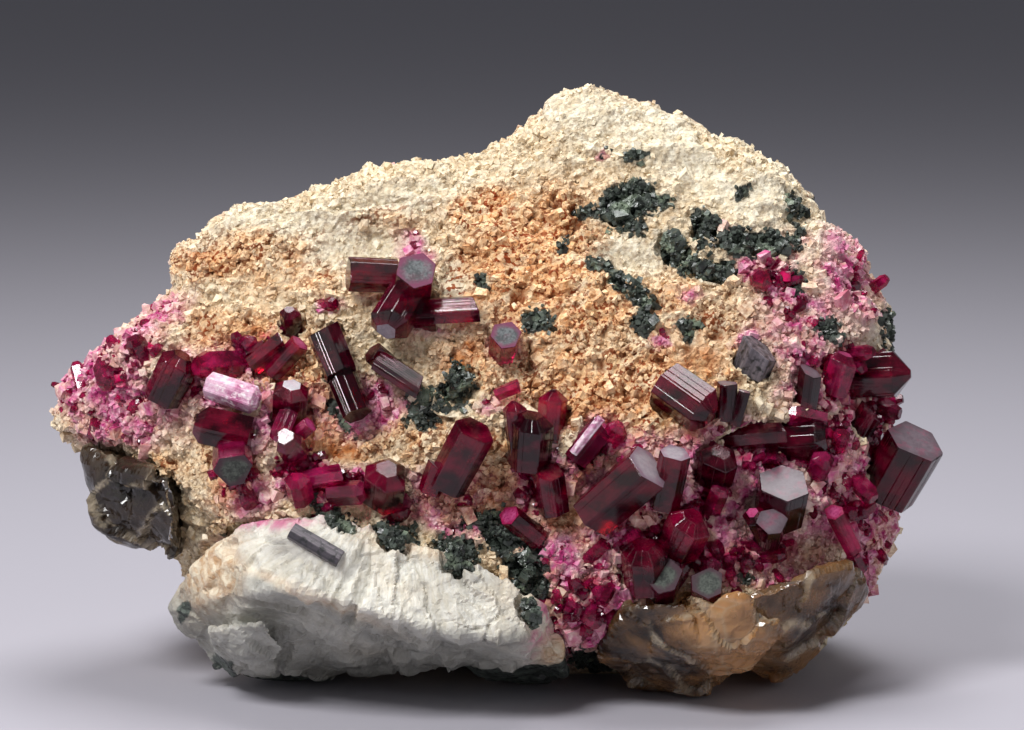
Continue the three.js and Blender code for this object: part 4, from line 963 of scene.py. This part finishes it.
GREY = ("in_block", "grey_slab", "green_core_left", "green_core_right")
ENDS = ("clear", "etched", "pearly", "cored", "mossy", "rosy", "frosted")


def barrel_section(rng):
    """A crystal's outline across its length: six uneven sides with cut corners and shallow grooves."""
    angles = [third + half + rng.uniform(-5, 5)
              for third in (0, 120, 240) for half in (-NARROW_SIDE / 2, NARROW_SIDE / 2)]
    reach = rng.uniform(.93, 1.02, 6)
    corners = [length * np.array([math.cos(math.radians(angle)), math.sin(math.radians(angle))])
               for length, angle in zip(reach, angles)]
    outline = []
    for side in range(6):
        a, b = corners[side], corners[(side + 1) % 6]
        shares, depths = [CUT_CORNER], [0.0]
        for cut in np.sort(rng.uniform(.12, .88, GROOVES)):
            half = rng.uniform(.01, .035)
            if cut - half > shares[-1] + .01:
                shares += [cut - half, cut, cut + half]
                depths += [0.0, rng.uniform(.004, .02), 0.0]
        shares.append(1 - CUT_CORNER)
        depths.append(0.0)
        outline += [(a * (1 - s) + b * s) * (1 - depth) for s, depth in zip(shares, depths)
                    if s <= 1 - CUT_CORNER]
    return np.array(outline)


def middle_line(row):
    """A crystal's tip, the direction from its root to its tip, its radius and its length, in mm."""
    across, down, depth, angle, toward, width, length = row[:7]
    tip = seen((across, down), depth)
    pixel = ((tip - EYE) @ AHEAD) / FOCAL
    angle, toward = math.radians(angle), math.radians(toward)
    in_picture = ACROSS * math.cos(angle) + UPWARD * math.sin(angle)
    axis = in_picture * math.cos(toward) - AHEAD * math.sin(toward)
    return tip, axis, width * pixel / 2, length * pixel


def bedding(points, normals, row):
    """How far points near a crystal move toward the viewer, so that it lies half sunk in them."""
    tip, axis, _, long = middle_line(row)
    nearest = tip - axis * np.clip((tip - points) @ axis, 0, long)[:, None]
    behind = (points - nearest) @ AHEAD
    beside = np.linalg.norm(points - nearest - behind[:, None] * AHEAD, axis=1)
    near = faded(-beside, -5.5, -1.5) * faded(-behind, -9, -6) * faded(-(normals @ AHEAD), 0, .3)
    return np.clip(behind, 0, 5) * near


def crystal_parts(row, rng):
    """Points, faces, end-face flags and stored values of one crystal."""
    head, turn, tint, end = row[7:]
    tip, axis, radius, long = middle_line(row)
    first = np.cross(axis, UPWARD + ACROSS * .35)
    about_axis = Matrix.Rotation(math.radians(turn), 3, Vector(axis))
    first = np.array(about_axis @ Vector(first / np.linalg.norm(first)))
    second = np.cross(axis, first)
    rise, share, slant = HEADS[head]
    outline = barrel_section(rng)
    lean = slant * radius * (1 - outline[:, 0])
    shoulder = rise * radius + lean
    wear = .045 * radius
    chipped = radius * .05 * rng.random(len(outline)) ** 3
    # From the root to the end: each ring's share of the radius, and how far it is behind the tip
    rings = [(.96, np.full(len(outline), long)), (.985, shoulder * .4 + long * .62),
             (1, shoulder * .7 + long * .3),
             (1, shoulder + wear + chipped), (.97, shoulder + (wear * .1 if rise else 0))]
    if rise:
        rings += [(share + .03, lean * share + .02 * radius), (share, lean * share)]
    points, section = [], []
    for scale, back in rings:
        flat = outline * scale
        around = flat[:, :1] * first + flat[:, 1:] * second
        points.append(tip + radius * around - back[:, None] * axis)
        section.append(flat)
    points.append((tip - slant * radius * share * axis)[None])
    section.append(np.zeros((1, 2)))
    n, last = len(outline), len(rings) - 1
    faces = [[i + n * r, i + n * (r + 1), (i + 1) % n + n * (r + 1), (i + 1) % n + n * r]
             for r in range(last) for i in range(n)]
    faces = [face[::-1] for face in faces]
    caps = [False] * len(faces)
    centre = n * (last + 1)
    faces += [[n * last + i, n * last + (i + 1) % n, centre] for i in range(n)]
    caps += [True] * n
    faces.append(list(range(n))[::-1])
    caps.append(False)
    flat = np.concatenate(section)
    number = rng.random() * 100
    return np.concatenate(points), faces, caps, {
        "section": np.column_stack([flat * radius, np.full(len(flat), number)]),
        "radial": np.linalg.norm(flat, axis=1), "tint": np.full(len(flat), float(tint))}, end


def joined_crystals(name, rows, materials):
    """The crystals of some rows as one mesh. The materials are of the body and of each kind of end."""
    rng = np.random.default_rng(sum(map(ord, name)))
    points, faces, slots, stored = [], [], [], {}
    for row in rows:
        more, more_faces, caps, values, end = crystal_parts(row, rng)
        start = sum(map(len, points))
        points.append(more)
        faces += [[start + i for i in face] for face in more_faces]
        slots += [ENDS.index(end) if cap or end == "frosted" else 0 for cap in caps]
        for key, value in values.items():
            stored.setdefault(key, []).append(value)
    mesh = bpy.data.meshes.new(name)
    mesh.from_pydata(np.concatenate(points) * MM, [], faces)
    made = bpy.data.objects.new(name, mesh)
    bpy.context.scene.collection.objects.link(made)
    write(made, **{key: np.concatenate(value) for key, value in stored.items()})
    for material in materials:
        mesh.materials.append(material)
    mesh.polygons.foreach_set("material_index", slots)
    return made


def dressed_crystals(names, material, ends):
    """A detailed piece for each named crystal node, with the materials of its end faces."""
    for node in names:
        made = joined_crystals(node.replace("tourmaline", "crystal"), CRYSTALS[node],
                               [material] + [ends[end] for end in ENDS[1:]])
        placed(made, [node])


def rows_on_rock(rows):
    """The rows with a plain end, and with a depth for each tip that is just in front of the rock."""
    bpy.context.view_layer.update()
    rock = bpy.data.objects["matrix_rock"]
    deep = []
    for across, down, angle, toward, width, *rest in rows:
        sight = Vector(sight_line((across, down))).normalized()
        hit, place, *_ = rock.ray_cast(Vector(EYE * MM), sight)
        if not hit:
            raise RuntimeError(f"no rock is seen at {across}, {down}")
        depth = place.y / MM - TIP_LIFT * width / PIXELS_PER_MM
        deep.append((across, down, depth, angle, toward, width, *rest, "clear"))
    return deep


# Settings that a user would change

class RockSettings(bpy.types.PropertyGroup):
    """Sizes of the rock's own roughness."""
    voxel: bpy.props.FloatProperty(
        name="Mesh Size", description="Width of the rock's mesh faces, in mm", default=.735, min=.4)
    roughness: bpy.props.FloatProperty(
        name="Roughness", description="How strongly the sugary surface stands out",
        default=1.0, min=0, max=2, subtype="FACTOR")


class GrainSettings(bpy.types.PropertyGroup):
    """Numbers and sizes of the loose grains."""
    feldspar_count: bpy.props.IntProperty(
        name="Feldspar Grains", description="How many grains of feldspar",
        default=14500, min=100, subtype="UNSIGNED")
    pink_count: bpy.props.IntProperty(
        name="Pink Grains", description="How many grains of pink tourmaline",
        default=9500, min=100, subtype="UNSIGNED")
    green_count: bpy.props.IntProperty(
        name="Green Grains", description="How many dark green grains",
        default=9000, min=100, subtype="UNSIGNED")
    prism_count: bpy.props.IntProperty(
        name="Small Crystals", description="How many small crystals",
        default=1500, min=100, subtype="UNSIGNED")
    grain_size: bpy.props.FloatProperty(
        name="Grain Size", description="Half the width of a typical grain, in mm", default=.24, min=.05)


class ColourSettings(bpy.types.PropertyGroup):
    """Colours of the see-through minerals."""
    burgundy: bpy.props.FloatVectorProperty(
        name="Burgundy", description="Dark colour of the red crystals",
        default=rgb(36, 0, 14)[:3], subtype="COLOR", min=0, max=1)
    crimson: bpy.props.FloatVectorProperty(
        name="Crimson", description="Bright colour of the red crystals",
        default=rgb(224, 6, 84)[:3], subtype="COLOR", min=0, max=1)
    magenta: bpy.props.FloatVectorProperty(
        name="Magenta", description="Bright colour of the pink crystals",
        default=rgb(238, 44, 128)[:3], subtype="COLOR", min=0, max=1)
    amber: bpy.props.FloatVectorProperty(
        name="Amber", description="Light colour of the right-hand quartz",
        default=rgb(232, 174, 114)[:3], subtype="COLOR", min=0, max=1)


class StageSettings(bpy.types.PropertyGroup):
    """The studio's size and light."""
    floor_colour: bpy.props.FloatVectorProperty(
        name="Floor Colour", description="Colour of the floor",
        default=rgb(170, 167, 176)[:3], subtype="COLOR", min=0, max=1)
    key_power: bpy.props.FloatProperty(
        name="Key Light", description="Power of the main light", default=5.7, min=0, unit="POWER")


def settings_of(context):
    """The settings of the rock, of the grains and of the colours."""
    return context.scene.specimen_rock, context.scene.specimen_grains, context.scene.specimen_colours


def opaque(colour):
    """A colour with full cover."""
    return tuple(colour) + (1.0,)


class SPECIMEN_OT_rock(bpy.types.Operator):
    """Make the feldspar rock and the grains that cover it"""
    bl_idname = "specimen.rock"
    bl_label = "Rock and Grains"

    def execute(self, context):
        rock_settings, grains, _ = settings_of(context)
        rock, zones = dressed_rock(rock_settings.voxel, rock_settings.roughness)
        placed(rock, ["feldspar_matrix"],
               [stain_and_shade_material("Feldspar rock", 1300.0, .8, 1.0)])
        rng = np.random.default_rng(7)
        standing = faded(points_and_normals(rock)[0][:, 2], 1.0, 3.0)  # no grains near the floor
        facing = (.22 + .78 * zones["front"]) * standing
        loose = facing * np.clip(1 - .8 * zones["pale"], .06, 1)
        loose = loose * (1 - .9 * zones["green"]) * (1 - .6 * zones["hollow"])
        loose = loose * (1.05 - .5 * zones["pink"])
        self.grains("feldspar_grains", "cream_feldspar", rock, zones, loose, rng,
                    sized(rng, grains.feldspar_count, grains.grain_size, .42),
                    stain_and_shade_material("Feldspar grains", 1500.0, .4, .6))
        rosy = facing * np.clip(zones["pink"] + zones["crimson"] - .12, 0, 1.4)
        self.grains("pink_grains", "pink_tourmaline", rock, zones, rosy, rng,
                    sized(rng, grains.pink_count, grains.grain_size * 1.05, .45),
                    stain_and_shade_material("Pink grains", 1300.0, .3, .2))
        return {"FINISHED"}

    @staticmethod
    def grains(name, slot, rock, zones, weight, rng, sizes, material):
        """Grains of one kind on the rock, which take their colour zones from it."""
        places, normals, nearest = scattered(rock, weight, len(sizes), rng)
        made = chips(name, places + normals * (sizes * .15)[:, None], sizes, rng)
        write(made, **{zone: np.repeat(zones[zone][nearest], CHIP_POINTS) for zone in ZONES})
        write(made, hollow=np.zeros(len(made.data.vertices)))
        placed(made, (), [material])


SMALL_WIDTH = .85  # of a typical small crystal, in mm
LARGE_EACH = 11  # one in this many small crystals is a larger one
LARGER = 2.3


class SPECIMEN_OT_small_crystals(bpy.types.Operator):
    """Scatter small pink and crimson crystals between the large ones"""
    bl_idname = "specimen.small_crystals"
    bl_label = "Small Crystals"

    def execute(self, context):
        _, grains, colours = settings_of(context)
        rock = bpy.data.objects["matrix_rock"]
        rng = np.random.default_rng(11)
        points, normals = points_and_normals(rock)
        zones = zones_at(points, normals)
        weight = np.clip(.22 * zones["pink"] + 1.2 * zones["crimson"] - .15, 0, 1)
        weight = weight * (zones["front"] > .9)
        places, outward, _ = scattered(rock, weight, grains.prism_count, rng)
        widths = sized(rng, grains.prism_count, SMALL_WIDTH, .35)
        widths[::LARGE_EACH] *= LARGER
        lengths = widths * rng.uniform(1.2, 3.2, len(widths))
        made = prisms("small_crystals", places, outward, widths, lengths, rng)
        placed(made, (), [crystal_material(
            "Small crystals", rgb(128, 6, 54), opaque(colours.magenta),
            420.0, 170.0, (.92, .12, .4, 1))])
        return {"FINISHED"}


# Widths of mesh faces, in mm
GREEN_VOXEL = .45
BLOCK_VOXEL = .5
QUARTZ_VOXEL = .55


class SPECIMEN_OT_green_grains(bpy.types.Operator):
    """Make the dark green masses out of grains"""
    bl_idname = "specimen.green_grains"
    bl_label = "Green Grains"

    def execute(self, context):
        _, grains, _ = settings_of(context)
        nodes = sorted(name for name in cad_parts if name.startswith("green_"))
        rng = np.random.default_rng(13)
        lumps = remeshed("green_masses", nodes, GREEN_VOXEL)
        points, normals = points_and_normals(lumps)
        crumbs = facets(points, 1.3, 3)
        relief = .5 * crumbs + 1.5 * layered_noise(points, 3.4, 9) - 1.3
        relief = relief * faded(points[:, 2], .3, 2.0)
        set_points(lumps, points + normals * relief[:, None])
        # Painted shade: the tone is lighter where the broken surface stands out and darker where it
        # sinks.
        write(lumps, tone=np.clip(.5 + crumbs, 0, 1))
        material = green_material()
        placed(lumps, nodes, [material])
        open_side = (normals @ AHEAD < .3) * 1.0
        on_lumps, outward, _ = scattered(lumps, open_side, grains.green_count // 3, rng)
        rock = bpy.data.objects["matrix_rock"]
        rock_points, rock_normals = points_and_normals(rock)
        zones = zones_at(rock_points, rock_normals)
        dark = np.clip(zones["green"] - .25, 0, 1) * faded(rock_points[:, 2], 1.0, 3.0)
        on_rock, rock_outward, _ = scattered(rock, dark, grains.green_count - len(on_lumps), rng)
        sizes = sized(rng, grains.green_count, grains.grain_size * .95, .35)
        places = np.concatenate([on_lumps + outward * .1, on_rock + rock_outward * .25])
        placed(chips("green_grains", places, sizes, rng), (), [material])
        return {"FINISHED"}


# Colour zones of the white block, as soft ovals, and the spots of the ridge above its shaded face
BLOCK_ZONES = {
    "rim": [
        (470, 676, 110, 8, 4, 1), (565, 674, 50, 8, 10, 1), (290, 682, 110, 6, 0, .8),
        (230, 668, 30, 8, -40, .6), (585, 668, 40, 12, 0, .9), (250, 682, 60, 6, -4, .9),
        (186, 610, 8, 14, 0, .5),
    ],
    "sandy": [
        (208, 562, 34, 48, 0, 1), (420, 545, 60, 12, -10, .8), (560, 655, 24, 22, 0, .8),
        (300, 590, 90, 5, -22, .5),
    ],
    "rosy": [(260, 520, 60, 8, 0, .8), (400, 528, 60, 8, -12, .8), (548, 610, 14, 40, -20, .8)],
}
FAN_CENTRE = (405, 455)  # the spot from which the cleavage blades fan out
BLOCK_RIDGE = ([170, 215, 300, 370, 450, 520, 600], [560, 556, 590, 612, 632, 628, 650])


class SPECIMEN_OT_white_block(bpy.types.Operator):
    """Make the white feldspar block with its cleavage"""
    bl_idname = "specimen.white_block"
    bl_label = "White Block"

    def execute(self, context):
        block = remeshed("white_block", ["white_feldspar_block"], BLOCK_VOXEL)
        points, normals = points_and_normals(block)
        spots = spots_of(points)
        away = spots - np.array(FAN_CENTRE)
        turn, reach = np.arctan2(away[:, 1], away[:, 0]), np.linalg.norm(away, axis=1)
        fan = np.column_stack([turn * 30, reach / 26, points[:, 1] / 3])
        fan = fan + .8 * layered_noise(points, 6, 3)[:, None]
        blades = facets(fan, 3.2, 5, .2)
        broken = facets(points + 1.2 * layered_noise(points, 5, 14)[:, None], 7.5, 21, .08)
        chipped = facets(points, 2.1, 12)
        relief = 1.1 * broken + 1.05 * blades + .28 * chipped + .5 * layered_noise(points, 9, 8) + .05
        relief *= faded(points[:, 2], .4, 2.0)
        relieved = points + normals * relief[:, None]
        sunk = bedding(relieved, normals, CRYSTALS["tourmaline_in_block"][0])
        set_points(block, relieved - sunk[:, None] * AHEAD)
        rim, sandy, rosy = (oval_sum(spots, BLOCK_ZONES[name]) for name in ("rim", "sandy", "rosy"))
        # Painted shade: under covers the face below the ridge, and hollow the sunken parts of the
        # cleavage, to be greyed.
        ridge = np.interp(spots[:, 0], *BLOCK_RIDGE)
        under = faded(spots[:, 1] - ridge + 5 * layered_noise(points, 4, 33), -4, 10)
        write(block, hollow=np.clip(-.9 * blades - .5 * chipped, 0, 1), under=under,
              rim=1.5 * rim, orange=np.clip(sandy, 0, 1), pink=np.clip(rosy, 0, 1), fan=fan)
        placed(block, ["white_feldspar_block"], [white_material()])
        return {"FINISHED"}


# Lighter and darker parts of the quartz, as soft ovals
QUARTZ_ZONES = {
    "pale": [(735, 640, 46, 48, 0, 1.3), (715, 615, 40, 24, 0, .5), (150, 480, 14, 20, 0, .3)],
    "brown": [
        (640, 650, 44, 46, 0, 1.2), (830, 605, 36, 30, 0, 1), (770, 610, 22, 16, 0, .5),
        (690, 680, 30, 16, 0, .7), (130, 510, 60, 60, 0, .6),
    ],
}


class SPECIMEN_OT_quartz(bpy.types.Operator):
    """Make the two lumps of smoky quartz"""
    bl_idname = "specimen.quartz"
    bl_label = "Smoky Quartz"

    def execute(self, context):
        colours = settings_of(context)[2]
        looks = {
            "smoky_quartz_left": ("dark_quartz", quartz_material(
                "Dark quartz", rgb(30, 20, 13), rgb(96, 70, 46), 230.0, (.6, .44, .3, 1), .45, .03)),
            "smoky_quartz_right": ("amber_quartz", quartz_material(
                "Amber quartz", rgb(62, 38, 20), opaque(colours.amber), 45.0, (.84, .62, .4, 1),
                .6, .08)),
        }
        for node, (slot, material) in looks.items():
            lump = remeshed(node.replace("smoky_", ""), [node], QUARTZ_VOXEL)
            points, normals = points_and_normals(lump)
            bent = points + 1.5 * layered_noise(points, 8, 4)[:, None]
            shells = 2.1 * facets(bent, 9.5, 6, .05) + .4 * facets(bent, 4.2, 16, .1)
            nearest, second, tone = cell_noise(bent, 9.5, 6)
            ripples, _, number = cell_noise(bent, 12, 26)
            relief = shells + .1 * np.sin(ripples * 40) * (number > .5)
            relief = relief + .12 * layered_noise(points, 2.5, 2)
            set_points(lump, points + normals * (relief * faded(points[:, 2], .4, 2.0))[:, None])
            spots = spots_of(points)
            pale, brown = (oval_sum(spots, QUARTZ_ZONES[name]) for name in ("pale", "brown"))
            write(lump, tone=np.clip(pale - .6 * brown + .6 * (tone - .5) + .1, 0, 1),
                  stain=np.clip(brown + .6 * (.5 - tone), 0, 1),
                  edge=1 - faded(second - nearest, .02, .12))
            placed(lump, [node], [material])
        return {"FINISHED"}


# Colours of the rim, the middle and the rest of each kind of end, its mottling and its roughness
CAPS = {
    "etched": ((84, 68, 76), (92, 78, 86), (104, 90, 98), .22, .3),
    "pearly": ((126, 104, 118), (138, 128, 136), (156, 146, 152), .15, .3),
    "mossy": ((58, 30, 42), (34, 38, 34), (76, 82, 74), .0, .6),
    "cored": ((100, 30, 66), (50, 54, 56), (92, 96, 98), .1, .42),
    "rosy": ((128, 16, 62), (136, 36, 84), (166, 66, 112), .3, .22),
}


class SPECIMEN_OT_crystals(bpy.types.Operator):
    """Make the large tourmaline crystals"""
    bl_idname = "specimen.crystals"
    bl_label = "Crystals"

    def execute(self, context):
        colours = settings_of(context)[2]
        red = crystal_material(
            "Red tourmaline", opaque(colours.burgundy), opaque(colours.crimson),
            210.0, 470.0, (.74, .03, .26, 1))
        pink = crystal_material(
            "Pink tourmaline", rgb(130, 8, 56), opaque(colours.magenta),
            260.0, 230.0, (.9, .1, .38, 1), .1)
        ends = {end: cap_material(f"{end.capitalize()} end", *look) for end, look in CAPS.items()}
        ends["frosted"] = frosted_material()
        pinks = ["tourmaline_" + name for name in PINK]
        greys = ["tourmaline_" + name for name in GREY]
        dressed_crystals([name for name in CRYSTALS if name not in pinks + greys], red, ends)
        dressed_crystals(pinks, pink, ends)
        for slot, material in (("red_tourmaline", red), ("pink_tourmaline", pink)):
            rows = rows_on_rock(BETWEEN[slot])
            placed(joined_crystals(slot.replace("tourmaline", "between"), rows, [material]))
        cores = [name for name in greys if "core" in name]
        dressed_crystals(cores, pink, ends)
        dressed_crystals([name for name in greys if name not in cores], grey_material(), ends)
        return {"FINISHED"}


FLOOR_REACH = 6000.0  # in mm, far enough to fill the lower part of the view


class SPECIMEN_OT_stage(bpy.types.Operator):
    """Make the floor, the lights and the camera"""
    bl_idname = "specimen.stage"
    bl_label = "Stage"

    def execute(self, context):
        stage = context.scene.specimen_stage
        corners = np.array([(-1, -1, 0), (1, -1, 0), (1, 1, 0), (-1, 1, 0)], float) * FLOOR_REACH
        floor = mesh_of("studio_floor", corners, [[0, 1, 2, 3]])
        material, _, shader, _ = material_of("Studio floor")
        shader["Base Color"].default_value = opaque(stage.floor_colour)
        shader["Roughness"].default_value = .7
        floor.data.materials.append(material)
        camera = bpy.data.objects.new("Camera", bpy.data.cameras.new("Camera"))
        camera.data.sensor_width = SENSOR_WIDTH
        camera.data.lens = FOCAL / PICTURE[0] * SENSOR_WIDTH
        camera.data.clip_start, camera.data.clip_end = .05, 10
        camera.location = EYE * MM
        camera.rotation_euler = Vector(AHEAD).to_track_quat("-Z", "Y").to_euler()
        context.scene.collection.objects.link(camera)
        context.scene.camera = camera
        for name, place, size, power in (  # places and sizes in mm
            ("Key", (-300, -420, 600), 240, stage.key_power),
            ("Fill", (620, -600, 300), 950, stage.key_power * .3),
            ("Top", (60, 120, 620), 360, stage.key_power * .56),
            ("Side", (-700, -200, 260), 800, stage.key_power * .22),
        ):
            data = bpy.data.lights.new(name, "AREA")
            data.size, data.energy = size * MM, power
            light = bpy.data.objects.new(name, data)
            light.location = Vector(place) * MM
            light.rotation_euler = (Vector(AIM) - Vector(place)).to_track_quat("-Z", "Y").to_euler()
            context.scene.collection.objects.link(light)
        world = bpy.data.worlds.new("Studio")
        world.use_nodes = True
        world.node_tree.nodes["Background"].inputs["Color"].default_value = (.9, .92, 1, 1)
        world.node_tree.nodes["Background"].inputs["Strength"].default_value = .12
        context.scene.world = world
        context.scene.view_settings.view_transform = "Standard"
        return {"FINISHED"}


OPERATORS = (
    SPECIMEN_OT_rock, SPECIMEN_OT_small_crystals, SPECIMEN_OT_green_grains,
    SPECIMEN_OT_white_block, SPECIMEN_OT_quartz, SPECIMEN_OT_crystals, SPECIMEN_OT_stage,
)


class SPECIMEN_PT_panel(bpy.types.Panel):
    """Lists the specimen's settings and operators"""
    bl_idname = "SPECIMEN_PT_panel"
    bl_label = "Tourmaline Specimen"
    bl_space_type = "VIEW_3D"
    bl_region_type = "UI"
    bl_category = "Specimen"

    def draw(self, context):
        for group in SETTINGS:
            box = self.layout.box()
            values = getattr(context.scene, group)
            for name in values.bl_rna.properties.keys():
                if name not in ("rna_type", "name"):
                    box.prop(values, name)
        for operator in OPERATORS:
            self.layout.operator(operator.bl_idname)


SETTINGS = {"specimen_rock": RockSettings, "specimen_grains": GrainSettings,
            "specimen_colours": ColourSettings, "specimen_stage": StageSettings}
CLASSES = (*SETTINGS.values(), *OPERATORS, SPECIMEN_PT_panel)


def register():
    """Adds the settings, the operators and the panel to Blender."""
    for made in CLASSES:
        bpy.utils.register_class(made)
    for name, group in SETTINGS.items():
        setattr(bpy.types.Scene, name, bpy.props.PointerProperty(type=group))


def unregister():
    """Takes them out again."""
    for name in SETTINGS:
        delattr(bpy.types.Scene, name)
    for made in reversed(CLASSES):
        bpy.utils.unregister_class(made)


def main():
    """Makes the whole specimen on its stage."""
    register()
    bpy.ops.specimen.rock()
    bpy.ops.specimen.small_crystals()
    bpy.ops.specimen.green_grains()
    bpy.ops.specimen.white_block()
    bpy.ops.specimen.quartz()
    bpy.ops.specimen.crystals()
    bpy.ops.specimen.stage()


if __name__ == "__main__":
    main()
